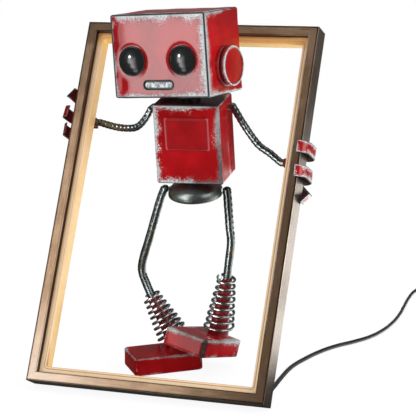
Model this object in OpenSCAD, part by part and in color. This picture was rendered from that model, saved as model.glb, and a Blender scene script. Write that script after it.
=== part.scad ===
// Robot figure carrying a lit picture frame, with its lead, in millimetres.
// X runs to the viewer's right, Y away from the viewer, Z up. The table is Z = 0.

/* [Frame] */
// Height of the frame along its slope
frame_h = 400; // [380:5:420]
// Width of the frame
frame_w = 266; // [256:2:276]
// Depth of the rails from face to back
frame_d = 23; // [22:0.5:25]
// Width of each rail's face
rail_w = 10.5; // [10:0.5:12]
// Sheet thickness of the rails
rail_t = 1.6; // [1.2:0.1:2]
// How far the frame leans back
frame_lean = 27.5; // [26:0.5:29]
// How far the diffuser stands in from the rails
diffuser_out = 7; // [5:0.5:9]

/* [Head] */
// Width of the head
head_w = 112; // [104:2:120]
// Depth of the head
head_d = 71; // [68:1:76]
// Height of the head
head_h = 86; // [84:1:92]
// Radius of each eye
eye_r = 15.5; // [13:0.5:17]
// Radius of the ear discs
ear_r = 21; // [17:0.5:23]
// Turn of the head
head_turn = -7.5; // [-12:0.5:0]

/* [Torso] */
// Width of the torso
torso_w = 72; // [68:1:78]
// Depth of the torso
torso_d = 52; // [48:1:56]
// Height of the torso
torso_h = 86; // [84:1:88]
// Forward lean of the torso
torso_lean = 6.3; // [5:0.1:7.5]
// Turn of the torso
torso_turn = 6.8; // [4:0.1:9]
// Sheet thickness of the head and torso
skin = 1.6; // [1.2:0.1:2]

/* [Limbs] */
// Radius of the arm rods
arm_r = 4; // [3.4:0.1:4.4]
// Radius of the leg rods
leg_r = 4.9; // [4.2:0.1:5.2]
// Radius of the wire of the ankle springs
spring_wire_r = 1.4; // [1.1:0.1:1.6]
// Radius of the pelvis
pelvis_r = 29.4; // [27:0.2:29.4]
// Length of a shoe
shoe_l = 75.5; // [72:0.5:79]
// Width of a shoe
shoe_w = 53.2; // [51:0.2:55]
// Height of a shoe
shoe_h = 20; // [18:0.5:20]
// Width of each finger strip
finger_w = 13; // [10:0.5:14]
// Thickness of each finger strip
finger_t = 1.4; // [1:0.1:1.6]

/* [Lead] */
// Diameter of the lead
lead_dia = 4.6; // [4:0.1:5]

/* [Hidden] */
$fn = 48;

// Where the middle of the frame's foot edge sits, so that the lamp's box is centred.
place_x = 3.76;
place_y = -82.15;

// ---------- places ----------

// Turns the frame's own axes (across, depth, up the slope) onto the table.
module on_frame() {
  translate([place_x, place_y, 0])
    rotate([-frame_lean, 0, 0])
      translate([0, -frame_d, 0])
        children();
}

// The same place for a single point.
function frame_pt(x, d, s) = [
  place_x + x,
  place_y + (d - frame_d) * cos(frame_lean) + s * sin(frame_lean),
  s * cos(frame_lean) - (d - frame_d) * sin(frame_lean)
];

torso_c = [place_x + 11.3, place_y + 110, 251.4];
torso_up = [
  sin(torso_lean) * sin(torso_turn),
  -sin(torso_lean) * cos(torso_turn),
  cos(torso_lean)
];
torso_side = [cos(torso_turn), sin(torso_turn), 0];
torso_back_dir = [
  -cos(torso_lean) * sin(torso_turn),
  cos(torso_lean) * cos(torso_turn),
  sin(torso_lean)
];

function torso_pt(x, y, z) =
  torso_c + x * torso_side + y * torso_back_dir + z * torso_up;

module on_torso() {
  translate(torso_c)
    rotate([torso_lean, 0, torso_turn])
      children();
}

// The head sits on the neck, a little forward of the torso.
head_tilt = -1.4;
head_roll = -3.4;
neck_x = 3.3;
neck_y = 17.5;
pivot_z = -head_h / 2 + 16;
head_c = [place_x + 4.3, place_y + 86, 344.9 + (head_h - 86) / 2 + (torso_h - 86) / 2];

module on_head() {
  translate(head_c)
    rotate([head_tilt, head_roll, head_turn])
      children();
}

// ---------- small helpers ----------

// A flat rectangle with round corners.
module round_rect(w, h, r) {
  square([w - 2 * r, h], center = true);
  square([w, h - 2 * r], center = true);
  for (sx = [-1, 1])
    for (sy = [-1, 1])
      translate([sx * (w / 2 - r), sy * (h / 2 - r)])
        circle(r = r);
}

// Stands a flat outline up, from depth d0 to d1.
module slab(d0, d1) {
  translate([0, d1, 0])
    rotate([90, 0, 0])
      linear_extrude(d1 - d0)
        children();
}

// A straight round rod between two points.
module rod_piece(a, b, r) {
  v = b - a;
  l = norm(v);
  translate(a)
    rotate([0, acos(v[2] / l), atan2(v[1], v[0])])
      cylinder(h = l, r = r, $fn = 32);
}

// ---------- swept wires ----------

function unit(v) = v / norm(v);

function along(p, i) =
  i == 0 ? unit(p[1] - p[0])
  : i == len(p) - 1 ? unit(p[i] - p[i - 1])
  : unit(p[i + 1] - p[i - 1]);

// The rings' first point lies square to the wire and to the direction side.
function wire_ring(p, i, r, sides, side) =
  let (t = along(p, i), u = unit(cross(side, t)), v = cross(t, u))
  [for (k = [0 : sides - 1])
    p[i] + r * cos(360 * k / sides) * u + r * sin(360 * k / sides) * v];

module swept_wire(p, r, sides, side = [0, 0, 1]) {
  n = len(p);
  rings = [for (i = [0 : n - 1]) each wire_ring(p, i, r, sides, side)];
  walls = [
    for (i = [0 : n - 2])
      for (k = [0 : sides - 1])
        let (a = i * sides + k, b = i * sides + (k + 1) % sides)
          each [[a, a + sides, b + sides], [a, b + sides, b]]
  ];
  end_a = [for (k = [1 : sides - 2]) [0, k, k + 1]];
  last = (n - 1) * sides;
  end_b = [for (k = [1 : sides - 2]) [last, last + k + 1, last + k]];
  polyhedron(points = rings, faces = concat(walls, end_a, end_b), convexity = 8);
}

// ---------- frame ----------

lip_d = 7;
bevel = 0.8;
root_in = 5.4;

module rail_profile() {
  polygon([
    [0, 0],
    [rail_w - bevel, 0],
    [rail_w, bevel],
    [rail_w, lip_d],
    [rail_w - rail_t, lip_d],
    [rail_w - rail_t, rail_t],
    [rail_t, rail_t],
    [rail_t, frame_d - rail_t],
    [rail_w, frame_d - rail_t],
    [rail_w, frame_d],
    [0, frame_d]
  ]);
}

module mitred_rail(l) {
  intersection() {
    linear_extrude(l)
      rail_profile();
    slab(0, frame_d)
      polygon([[0, 0], [rail_w, rail_w], [rail_w, l - rail_w], [0, l]]);
  }
}

module rail_left() {
  color("saddlebrown")
    on_frame()
      translate([-frame_w / 2, 0, 0])
        mitred_rail(frame_h);
}

gland_s = 20;
gland_x = frame_w / 2 - rail_w / 2;
gland_r = 3.6;

module rail_right() {
  color("saddlebrown")
    on_frame()
      difference() {
        translate([frame_w / 2, 0, 0])
          mirror([1, 0, 0])
            mitred_rail(frame_h);
        translate([gland_x, frame_d + 1, gland_s])
          rotate([90, 0, 0])
            cylinder(h = rail_t + 2, r = gland_r);
      }
}

module rail_top() {
  color("saddlebrown")
    on_frame()
      translate([-frame_w / 2, 0, frame_h])
        rotate([0, 90, 0])
          mitred_rail(frame_w);
}

module rail_bottom() {
  color("saddlebrown")
    on_frame()
      translate([frame_w / 2, 0, 0])
        rotate([0, -90, 0])
          mitred_rail(frame_w);
}

key_d0 = frame_d - rail_t - 4.4;
key_leg = 14;
key_w = 3.2;

module corner_key() {
  slab(key_d0, frame_d - rail_t)
    polygon([
      [rail_t, rail_t],
      [rail_t + key_leg, rail_t],
      [rail_t + key_leg, rail_t + key_w],
      [rail_t + key_w, rail_t + key_w],
      [rail_t + key_w, rail_t + key_leg],
      [rail_t, rail_t + key_leg]
    ]);
}

module corner_keys() {
  color("silver")
    on_frame()
      for (sx = [0, 1])
        for (sz = [0, 1])
          mirror([sx, 0, 0])
            translate([-frame_w / 2, 0, sz * frame_h])
              mirror([0, 0, sz])
                corner_key();
}

module frame_ring(u0, u1, r) {
  translate([0, frame_h / 2])
    difference() {
      square([frame_w - 2 * u0, frame_h - 2 * u0], center = true);
      round_rect(frame_w - 2 * u1, frame_h - 2 * u1, r);
    }
}

module diffuser() {
  color("wheat")
    on_frame()
      difference() {
        union() {
          slab(lip_d + 0.1, frame_d - rail_t - 0.1)
            frame_ring(root_in, rail_w + diffuser_out, 6);
          slab(lip_d - 2.5, lip_d + 0.2)
            frame_ring(root_in, rail_w - rail_t - 0.2, 0.5);
        }
        translate([gland_x - 6, frame_d - rail_t - 5.6, gland_s - 6])
          cube([12, 8, 12]);
      }
}

strip_t = 1;
strip_d0 = 6;
strip_w = 10;
chip_pitch = 33;

module led_strip() {
  color("khaki")
    on_frame() {
      slab(strip_d0, strip_d0 + strip_w)
        frame_ring(rail_t, rail_t + strip_t, 0.4);
      for (s = [chip_pitch : chip_pitch : frame_h - 20])
        for (sx = [-1, 1])
          translate([sx * (frame_w / 2 - rail_t - strip_t - 0.7), strip_d0 + strip_w / 2, s])
            cube([1.6, 5, 5], center = true);
      for (x = [-3.5 * chip_pitch + 16 : chip_pitch : frame_w / 2 - 20])
        for (z = [rail_t + strip_t + 0.7, frame_h - rail_t - strip_t - 0.7])
          translate([x, strip_d0 + strip_w / 2, z])
            cube([5, 5, 1.6], center = true);
    }
}

// The gland's sleeve tapers along the first stretch of the lead, turned inwards.
gland_l = 20;
gland_turn = 28;
gland_up = 2.6;

module lead_gland() {
  color("black")
    on_frame()
      translate([gland_x, frame_d, gland_s])
        rotate([-90, 0, 0])
          difference() {
            union() {
              translate([0, 0, -3.6])
                cylinder(h = 3.7, r = gland_r - 0.05);
              cylinder(h = 2, r = 4.9);
              translate([0, 0, gland_up])
                sphere(r = 4.3);
              translate([0, 0, gland_up])
                rotate([0, -gland_turn, 0])
                  cylinder(h = gland_l, r1 = 3.9, r2 = 2.9);
            }
            translate([0, 0, -5])
              cylinder(h = 5 + gland_up, r = lead_dia / 2 + 0.05);
            translate([0, 0, gland_up])
              rotate([0, -gland_turn, 0])
                translate([0, 0, -0.6])
                  cylinder(h = gland_l + 1, r = lead_dia / 2 + 0.05);
            translate([0, 0, gland_up])
              sphere(r = lead_dia / 2 + 0.4);
          }
}

// ---------- head ----------

head_r = 3;
hw = head_w / 2;
hd = head_d / 2;
hh = head_h / 2;

slot_x0 = neck_x - 7.6;
slot_x1 = neck_x + 6;

module head_shell() {
  color("firebrick")
    on_head()
      difference() {
        slab(-hd + skin, hd)
          round_rect(head_w, head_h, head_r);
        slab(-hd, hd - skin)
          round_rect(head_w - 2 * skin, head_h - 2 * skin, head_r - skin + 0.2);
        translate([slot_x0, neck_y - 6.5, -hh - 1])
          cube([slot_x1 - slot_x0, 17, skin + 2]);
        translate([-hw - 1, ear_y, ear_z])
          rotate([0, 90, 0])
            cylinder(h = head_w + 2, r = 2.55);
      }
}

face_shift = -2.5;
eye_x = 29.8;
eye_z = hh - 47.8;
mouth_z = hh - 72.6;

module stadium(w, h) {
  square([w - h, h], center = true);
  for (sx = [-1, 1])
    translate([sx * (w - h) / 2, 0])
      circle(r = h / 2);
}

module face_plate() {
  color("firebrick")
    on_head()
      slab(-hd, -hd + skin)
        difference() {
          round_rect(head_w, head_h, head_r);
          for (sx = [-1, 1])
            translate([face_shift + sx * eye_x, eye_z])
              circle(r = eye_r + 0.1);
          translate([face_shift, mouth_z])
            stadium(36, 9.4);
        }
}

// A shallow dome with a flange behind the plate.
eye_rise = 6.5;

module eye(side) {
  big_r = (eye_r * eye_r + eye_rise * eye_rise) / (2 * eye_rise);
  color("black")
    on_head()
      translate([face_shift + side * eye_x, -hd, eye_z])
        rotate([90, 0, 0])
          union() {
            intersection() {
              translate([0, 0, eye_rise - big_r])
                sphere(r = big_r, $fn = 64);
              cylinder(h = eye_rise + 1, r = eye_r);
            }
            translate([0, 0, -skin])
              cylinder(h = skin + 0.2, r = eye_r);
            translate([0, 0, -skin - 1.5])
              cylinder(h = 1.5, r = eye_r + 2.5);
          }
}

module eye_left() {
  eye(-1);
}

module eye_right() {
  eye(1);
}

module mouth_plate() {
  color("silver")
    on_head()
      translate([face_shift, 0, mouth_z]) {
        slab(-hd + skin, -hd + skin + 1.2)
          round_rect(44, 15, 2);
        slab(-hd + 0.5, -hd + skin + 0.2)
          stadium(33.4, 6.8);
      }
}

ear_y = 1.5;
ear_z = -14.5;

// Profile of the disc against the head, turned about the ear's axis.
module ear_base_shape() {
  difference() {
    union() {
      cylinder(h = 3.6, r = ear_r);
      cylinder(h = 5.6, r = ear_r - 6);
    }
    translate([0, 0, -1])
      cylinder(h = 8, r = 2.55);
  }
}

// The outer disc, dished inside its rim.
module ear_cap_shape() {
  difference() {
    translate([0, 0, 5.6])
      cylinder(h = 5, r = ear_r - 0.5);
    translate([0, 0, 9.8])
      cylinder(h = 2, r = ear_r - 3);
    translate([0, 0, 5])
      cylinder(h = 3, r = 2.55);
  }
}

module on_ear(side) {
  on_head()
    translate([side * hw, ear_y, ear_z])
      rotate([0, side * 90, 0])
        children();
}

module ear_base_left() {
  color("darkred")
    on_ear(-1)
      ear_base_shape();
}

module ear_base_right() {
  color("darkred")
    on_ear(1)
      ear_base_shape();
}

module ear_cap_left() {
  color("firebrick")
    on_ear(-1)
      ear_cap_shape();
}

module ear_cap_right() {
  color("firebrick")
    on_ear(1)
      ear_cap_shape();
}

module ear_bolts() {
  color("gray")
    for (side = [-1, 1])
      on_ear(side) {
        translate([0, 0, -skin - 4])
          cylinder(h = skin + 4 + 7.9, r = 2.5);
        translate([0, 0, -skin - 3])
          cylinder(h = 3, r = 4.5, $fn = 6);
      }
}

eye_half = 4.5;
ear_gap = 0.2;
bracket_t = 1.8;
pin_r = 2;

// U bracket on the floor of the head.
module nod_bracket() {
  floor_z = -hh + skin;
  color("dimgray")
    on_head()
      difference() {
        union() {
          translate([neck_x - 15, neck_y - 9, floor_z])
            cube([30, 22, 1.6]);
          for (sx = [-1, 1])
            translate([neck_x + sx * (eye_half + ear_gap + bracket_t / 2), neck_y, 0])
              rotate([0, 90, 0])
                translate([0, 0, -bracket_t / 2])
                  linear_extrude(bracket_t) {
                    translate([-pivot_z, 0])
                      circle(r = 5.5);
                    translate([-pivot_z, -5.5])
                      square([pivot_z - floor_z, 11]);
                  }
        }
        translate([slot_x0 + 2.9, neck_y - 6.5, floor_z - 1])
          cube([slot_x1 - slot_x0 - 4.2, 17, 3]);
        translate([neck_x - 12, neck_y, pivot_z])
          rotate([0, 90, 0])
            cylinder(h = 24, r = pin_r + 0.02);
      }
}

module nod_pin() {
  half = eye_half + ear_gap + bracket_t;
  color("silver")
    on_head()
      translate([neck_x, neck_y, pivot_z])
        rotate([0, 90, 0])
          union() {
            translate([0, 0, -half - 1])
              cylinder(h = 2 * half + 2, r = pin_r);
            translate([0, 0, -half - 1.5])
              cylinder(h = 1.5, r = 3.4);
            translate([0, 0, half])
              cylinder(h = 1.5, r = 3.4);
          }
}

// Where the neck's axis starts, at the nod pin, and runs down into the torso.
head_side = [
  cos(head_roll) * cos(head_turn),
  cos(head_roll) * sin(head_turn),
  -sin(head_roll)
];
head_back = [
  sin(head_tilt) * sin(head_roll) * cos(head_turn) - cos(head_tilt) * sin(head_turn),
  sin(head_tilt) * sin(head_roll) * sin(head_turn) + cos(head_tilt) * cos(head_turn),
  sin(head_tilt) * cos(head_roll)
];
head_up = cross(head_side, head_back);
pivot_pt = head_c + neck_x * head_side + neck_y * head_back + pivot_z * head_up;
pivot_rise = (pivot_pt - torso_pt(0, 0, torso_h / 2)) * torso_up;
neck_foot = pivot_pt - pivot_rise * torso_up;
shank_r = 3.2;
bush_l = 9;

// The neck's axis, with its foot on the torso's top.
module on_neck() {
  translate(neck_foot)
    rotate([torso_lean, 0, torso_turn])
      children();
}

module neck_post() {
  color("dimgray")
    difference() {
      union() {
        on_neck() {
          translate([0, 0, -skin - bush_l - 2.6])
            cylinder(h = pivot_rise + skin + bush_l, r = shank_r);
          cylinder(h = 2.6, r = 10);
        }
        on_head()
          translate([neck_x - eye_half, neck_y, pivot_z])
            rotate([0, 90, 0])
              cylinder(h = 2 * eye_half, r = 5);
      }
      on_head()
        translate([neck_x - 10, neck_y, pivot_z])
          rotate([0, 90, 0])
            cylinder(h = 20, r = pin_r + 0.06);
    }
}

module neck_clip() {
  color("silver")
    on_neck()
      translate([0, 0, -skin - bush_l - 2])
        difference() {
          cylinder(h = 1.8, r = 6);
          translate([0, 0, -1])
            cylinder(h = 4, r = shank_r);
        }
}

module neck_bush() {
  color("goldenrod")
    on_neck()
      translate([0, 0, -skin - bush_l])
        difference() {
          cylinder(h = bush_l, r = 7);
          translate([0, 0, -1])
            cylinder(h = bush_l + 2, r = shank_r + 0.06);
        }
}

// ---------- torso ----------

tw = torso_w / 2;
td = torso_d / 2;
th = torso_h / 2;
torso_r = 2.5;
lug = 7;
arm_root_y = td - 10;
arm_root_z = th - 12;

module torso_shell() {
  color("firebrick")
    difference() {
      on_torso()
        difference() {
          union() {
            difference() {
              slab(-td, td - skin)
                round_rect(torso_w, torso_h, torso_r);
              slab(-td + skin, td)
                round_rect(torso_w - 2 * skin, torso_h - 2 * skin, 1);
            }
            for (sx = [-1, 1])
              for (sz = [-1, 1])
                translate([sx * (tw - skin - lug / 2), td - skin - 4, sz * (th - skin - lug / 2)])
                  cube([lug + 0.4, 8, lug + 0.4], center = true);
          }
          for (sx = [-1, 1])
            for (sz = [-1, 1])
              translate([sx * (tw - skin - lug / 2), td + 1, sz * (th - skin - lug / 2)])
                rotate([90, 0, 0])
                  cylinder(h = 8.8, r = 1.3);
          translate([-tw - 1, arm_root_y, arm_root_z])
            rotate([0, 90, 0])
              cylinder(h = torso_w + 2, r = arm_r + 0.05);
        }
      on_neck()
        translate([0, 0, -skin - 2])
          cylinder(h = skin + 4, r = shank_r + 0.06);
    }
}

module torso_back() {
  color("darkred")
    on_torso()
      difference() {
        slab(td - skin, td)
          round_rect(torso_w, torso_h, torso_r);
        for (sx = [-1, 1])
          for (sz = [-1, 1])
            translate([sx * (tw - skin - lug / 2), td + 1, sz * (th - skin - lug / 2)])
              rotate([90, 0, 0])
                cylinder(h = 8, r = 1.5);
      }
}

module back_screws() {
  color("silver")
    on_torso()
      for (sx = [-1, 1])
        for (sz = [-1, 1])
          translate([sx * (tw - skin - lug / 2), td, sz * (th - skin - lug / 2)])
            rotate([90, 0, 0]) {
              translate([0, 0, -1.4])
                cylinder(h = 1.4, r = 2.8);
              translate([0, 0, -0.2])
                cylinder(h = 7, r = 1.25);
            }
}

panel_w = 48.4;
panel_h = 35.5;
panel_z = 11.8;

module chest_panel() {
  color("firebrick")
    on_torso()
      translate([0, 0, panel_z]) {
        slab(-td - 0.8, -td)
          round_rect(panel_w, panel_h, 2.5);
        slab(-td - 1.8, -td - 0.7)
          difference() {
            round_rect(panel_w, panel_h, 2.5);
            round_rect(panel_w - 4, panel_h - 4, 1.5);
          }
      }
}

hip_drop = th + 14.5;
bowl_drop = th + 18;
bowl_rise = 14;
bowl_deep = 7.2;

// The bowl's outline, a quarter ellipse above its rim and a shallower one below.
function bowl_pt(a) = [pelvis_r * cos(a), (a > 0 ? bowl_rise : bowl_deep) * sin(a)];

// A flattened bowl with a collar up to the torso.
module pelvis() {
  color("dimgray")
    on_torso()
      difference() {
        union() {
          translate([-2, 0, -bowl_drop + 2])
            cylinder(h = bowl_drop - th - 2, r = 11);
          translate([-2, 0, -bowl_drop])
            rotate_extrude($fn = 64)
              polygon([for (a = [-90 : 10 : 90]) bowl_pt(a)]);
        }
        translate([-2 - pelvis_r - 1, 0, -hip_drop])
          rotate([0, 90, 0])
            cylinder(h = 2 * pelvis_r + 2, r = 3.02);
      }
}

hip_half = 34.6;
hip_l = torso_pt(-2 - hip_half, 0, -hip_drop);
hip_r = torso_pt(-2 + hip_half, 0, -hip_drop);

module hip_rod() {
  color("gray")
    on_torso()
      translate([-2 - hip_half + leg_r + 0.5, 0, -hip_drop])
        rotate([0, 90, 0])
          cylinder(h = 2 * (hip_half - leg_r - 0.5), r = 3);
}

// ---------- legs ----------

// Each shoe's place: the lower one lies flat, the upper one is crossed over it.
shoe_left_c = [place_x - 26.7, place_y + 96.2, shoe_h / 2];
shoe_left_turn = 38.9;
shoe_right_c = [place_x + 18.8, place_y + 98.9, 31.5 + (shoe_h - 20) * 1.5];
shoe_right_rot = [10.4, 14.1, 80.1];

module on_shoe_right() {
  translate(shoe_right_c)
    rotate(shoe_right_rot)
      children();
}

module on_shoe_left() {
  translate(shoe_left_c)
    rotate([0, 0, shoe_left_turn])
      children();
}

module shoe_block() {
  translate([0, 0, -shoe_h / 2])
    linear_extrude(shoe_h)
      round_rect(shoe_l, shoe_w, 6);
}

module shoe_right() {
  color("firebrick")
    on_shoe_right()
      shoe_block();
}

module shoe_left() {
  color("firebrick")
    on_shoe_left()
      shoe_block();
}

function turned(p, a) = [
  p[0] * cos(a) - p[1] * sin(a),
  p[0] * sin(a) + p[1] * cos(a),
  p[2]
];
function tipped(p, r) =
  let (
    a = [p[0], p[1] * cos(r[0]) - p[2] * sin(r[0]), p[1] * sin(r[0]) + p[2] * cos(r[0])],
    b = [a[0] * cos(r[1]) + a[2] * sin(r[1]), a[1], -a[0] * sin(r[1]) + a[2] * cos(r[1])]
  )
  turned(b, r[2]);

// Where each ankle post stands on its shoe.
ankle_left = shoe_left_c + turned([21.5, 15.8, shoe_h / 2], shoe_left_turn);
ankle_right = shoe_right_c + tipped([22.5, -3.2, shoe_h / 2], shoe_right_rot);

knee_left = [
  [place_x - 31.7, place_y + 113, 181.4],
  [place_x - 46.1, place_y + 115, 140.5],
  [place_x - 56.2, place_y + 117, 113.3],
  [place_x - 58.1, place_y + 118, 99],
  [place_x - 53.3, place_y + 119, 83.5],
  [place_x - 47, place_y + 119.5, 69]
];
knee_right = [
  [place_x + 43.5, place_y + 120.3, 184],
  [place_x + 45.1, place_y + 120.3, 154.2],
  [place_x + 46.2, place_y + 120.3, 139.3],
  [place_x + 44.3, place_y + 120.3, 124],
  [place_x + 40.2, place_y + 120.3, 97]
];

// Unit direction from each leg's end down to its ankle.
leg_end_left = knee_left[len(knee_left) - 1];
leg_end_right = knee_right[len(knee_right) - 1];
fall_left = unit(ankle_left - leg_end_left);
fall_right = unit(ankle_right - leg_end_right);

// The last straight stretch of each leg, down onto its post.
leg_stub = 3;

module leg_left() {
  color("dimgray")
    swept_wire(
      concat(
        smooth(concat([hip_l + [0.3, 0, 4.6], hip_l], knee_left), 3),
        [leg_end_left + leg_stub * fall_left]
      ),
      leg_r, 16, [0, 1, 0]
    );
}

module leg_right() {
  color("dimgray")
    swept_wire(
      concat(
        smooth(concat([hip_r + [-0.3, 0, 4.6], hip_r], knee_right), 3),
        [leg_end_right + leg_stub * fall_right]
      ),
      leg_r, 16, [0, 1, 0]
    );
}

post_r = 5.6;

// A red post from under the leg's end to the shoe, trimmed flat on the shoe.
module ankle_post_left() {
  color("darkred")
    difference() {
      rod_piece(leg_end_left + (leg_stub + 0.05) * fall_left, ankle_left + 8 * fall_left, post_r);
      on_shoe_left()
        translate([0, 0, shoe_h / 2 - 30])
          cube([200, 200, 60], center = true);
    }
}

module ankle_post_right() {
  color("darkred")
    difference() {
      rod_piece(leg_end_right + (leg_stub + 0.05) * fall_right, ankle_right + 8 * fall_right, post_r);
      on_shoe_right()
        translate([0, 0, shoe_h / 2 - 30])
          cube([200, 200, 60], center = true);
    }
}

// A cone spring about the line from a to b.
spring_turns = 9;
spring_steps = 14;

function cone_spring(a, b, r0, r1) =
  let (
    w = unit(b - a),
    u = unit(cross(w, [0, 1, 0])),
    v = cross(w, u),
    n = spring_turns * spring_steps
  )
  [for (i = [0 : n])
    let (
      f = i / n,
      draw_in = spring_out * max(0, 1 - i / (spring_steps / 2)),
      r = r0 + (r1 - r0) * f - draw_in,
      q = 360 * i / spring_steps
    )
      a + (b - a) * f + r * cos(q) * u + r * sin(q) * v];

spring_out = 1.5;
spring_top_r = leg_r + spring_wire_r + 0.2 + spring_out;

module spring_left() {
  color("gray")
    swept_wire(
      cone_spring(
        leg_end_left - 6 * fall_left,
        ankle_left - (spring_wire_r + 9.8) * fall_left,
        spring_top_r, 16.8
      ),
      spring_wire_r, 8
    );
}

module spring_right() {
  color("gray")
    swept_wire(
      cone_spring(
        leg_end_right - 6 * fall_right,
        ankle_right - (spring_wire_r + 4) * fall_right,
        spring_top_r, 15.8
      ),
      spring_wire_r, 8
    );
}

// ---------- arms and hands ----------

// A finger is a strip bent round the rail, with its tail on the palm.
finger_in = frame_d / 2 + 5.4;
finger_c = frame_d / 2 + 4.5;
finger_reach = 13.1;
finger_bend_r = 12;
palm_d = finger_c + finger_in + finger_t;
palm_t = 2.6;
palm_w = 15;
palm_in_left = 1.5;
palm_in_right = 13.5;
tail_right = 15;
wrist_r = arm_r + 1;
wrist_l = 5.5;
grip_left = [314, 295.5, 277];
grip_right = [268.5, 242.5, 227];
palm_s_left = 298;
palm_s_right = 247;
arm_end_d = palm_d - wrist_r + 0.3;
arm_end_s_left = 294;
arm_end_s_right = 258.5;

// The strip seen along the rail; it sweeps from the palm round to the face.
module finger_hoop(grow) {
  translate([finger_reach - 30 - finger_t + grow, 0])
    round_rect(60, 2 * (finger_in + grow), finger_bend_r - finger_t + grow);
}

module finger_bend(sweep) {
  difference() {
    finger_hoop(finger_t);
    finger_hoop(0);
    rotate(90 - sweep)
      translate([-60, -60])
        square([60, 60]);
    translate([-60, -60])
      square([60, 120]);
    rotate(90 - sweep)
      translate([0, -60])
        square([60, 60]);
  }
}

// How far each hand's fingers stand out past the grip's middle.
module finger(side, out, s, sweep, tilt, tail) {
  color("firebrick")
    on_frame()
      translate([side * (frame_w / 2 - 5 + out), finger_c, s])
        mirror([side < 0 ? 1 : 0, 0, 0])
          rotate([0, tilt, 0])
            translate([0, 0, -finger_w / 2])
              linear_extrude(finger_w) {
                finger_bend(sweep);
                translate([-tail, finger_in])
                  square([tail + 0.1, finger_t]);
              }
}

module finger_left_1() {
  finger(-1, 9, grip_left[0], 105, -40, 10);
}

module finger_left_2() {
  finger(-1, 6.6, grip_left[1], 168, -7, 8.5);
}

module finger_left_3() {
  finger(-1, 3.3, grip_left[2], 156, 0, 6.5);
}

module finger_right_1() {
  finger(1, 0, grip_right[0], 180, 0, tail_right);
}

module finger_right_2() {
  finger(1, 0, grip_right[1], 176, -3, tail_right - 1);
}

module finger_right_3() {
  finger(1, 1.6, grip_right[2], 98, 42, 6);
}

// Flat palm behind the fingers' tails, with the socket that takes the arm's end.
module palm(side, x, s, arm_s) {
  inner = x - palm_w / 2;
  color("firebrick")
    on_frame()
      mirror([side < 0 ? 1 : 0, 0, 0])
        difference() {
          union() {
            translate([x, 0, s])
              slab(palm_d, palm_d + palm_t)
                round_rect(palm_w, 56, 4);
            translate([inner - wrist_l, palm_d, arm_s - wrist_r])
              cube([wrist_l + 4, palm_t, 2 * wrist_r]);
            translate([inner - wrist_l, arm_end_d, arm_s])
              rotate([0, 90, 0])
                cylinder(h = wrist_l, r = wrist_r);
          }
          translate([inner - wrist_l - 1, arm_end_d, arm_s])
            rotate([0, 90, 0])
              cylinder(h = wrist_l + 0.2, r = arm_r + 0.04);
        }
}

module palm_left() {
  palm(-1, frame_w / 2 - palm_in_left, palm_s_left, arm_end_s_left);
}

module palm_right() {
  palm(1, frame_w / 2 - palm_in_right, palm_s_right, arm_end_s_right);
}

// Where the arms go into their sockets, and the depth of the sockets' bores.
wrist_x_left = frame_w / 2 - palm_in_left - palm_w / 2;
wrist_x_right = frame_w / 2 - palm_in_right - palm_w / 2;

arm_left_root = [
  torso_pt(-tw + 8, arm_root_y, arm_root_z),
  torso_pt(-tw + 3, arm_root_y, arm_root_z)
];
arm_left_pts = [
  torso_pt(-tw - 3.5, arm_root_y, arm_root_z),
  [place_x - 42, place_y + 122, 279.2],
  [place_x - 49, place_y + 122.5, 269.1],
  [place_x - 58.6, place_y + 124.5, 259.5],
  [place_x - 69.6, place_y + 127, 255.7],
  [place_x - 89, place_y + 132, 255.3],
  frame_pt(-wrist_x_left + wrist_l + 5, arm_end_d, arm_end_s_left)
];
arm_left_end = [
  frame_pt(-wrist_x_left + wrist_l + 1, arm_end_d, arm_end_s_left),
  frame_pt(-wrist_x_left + 1, arm_end_d, arm_end_s_left)
];
arm_right_root = [
  torso_pt(tw - 8, arm_root_y, arm_root_z),
  torso_pt(tw - 3, arm_root_y, arm_root_z)
];
arm_right_pts = [
  torso_pt(tw + 3.5, arm_root_y, arm_root_z),
  [place_x + 60.8, place_y + 125.5, 266.4],
  [place_x + 71.9, place_y + 126, 250.5],
  [place_x + 79.7, place_y + 126, 242.2],
  [place_x + 91, place_y + 126, 235.1],
  frame_pt(wrist_x_right - wrist_l - 4, arm_end_d, arm_end_s_right)
];
arm_right_end = [
  frame_pt(wrist_x_right - wrist_l - 1, arm_end_d, arm_end_s_right),
  frame_pt(wrist_x_right - 1, arm_end_d, arm_end_s_right)
];

module arm_left() {
  color("dimgray")
    swept_wire(concat(arm_left_root, smooth(arm_left_pts, 3), arm_left_end), arm_r, 14, [0, 1, 0]);
}

module arm_right() {
  color("dimgray")
    swept_wire(concat(arm_right_root, smooth(arm_right_pts, 3), arm_right_end), arm_r, 14, [0, 1, 0]);
}

// ---------- lead ----------

lead_r = lead_dia / 2;
lead_z = lead_r + 0.1;
gland_tail = frame_pt(gland_x, frame_d - 3.4, gland_s);
gland_bend = frame_pt(gland_x, frame_d + gland_up, gland_s);
gland_mid = frame_pt(
  gland_x - 10 * sin(gland_turn), frame_d + gland_up + 10 * cos(gland_turn), gland_s
);
gland_tip = frame_pt(
  gland_x - gland_l * sin(gland_turn), frame_d + gland_up + gland_l * cos(gland_turn), gland_s
);

// The coil lies at the end of the run, wound clockwise.
coil_c = [place_x + 182, place_y + 507, 0];
coil_mid = 25;
coil_w = 9.6;
coil_h = 18.8;
coil_z = 1.4;
outer_turn = coil_mid + lead_r;

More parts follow.
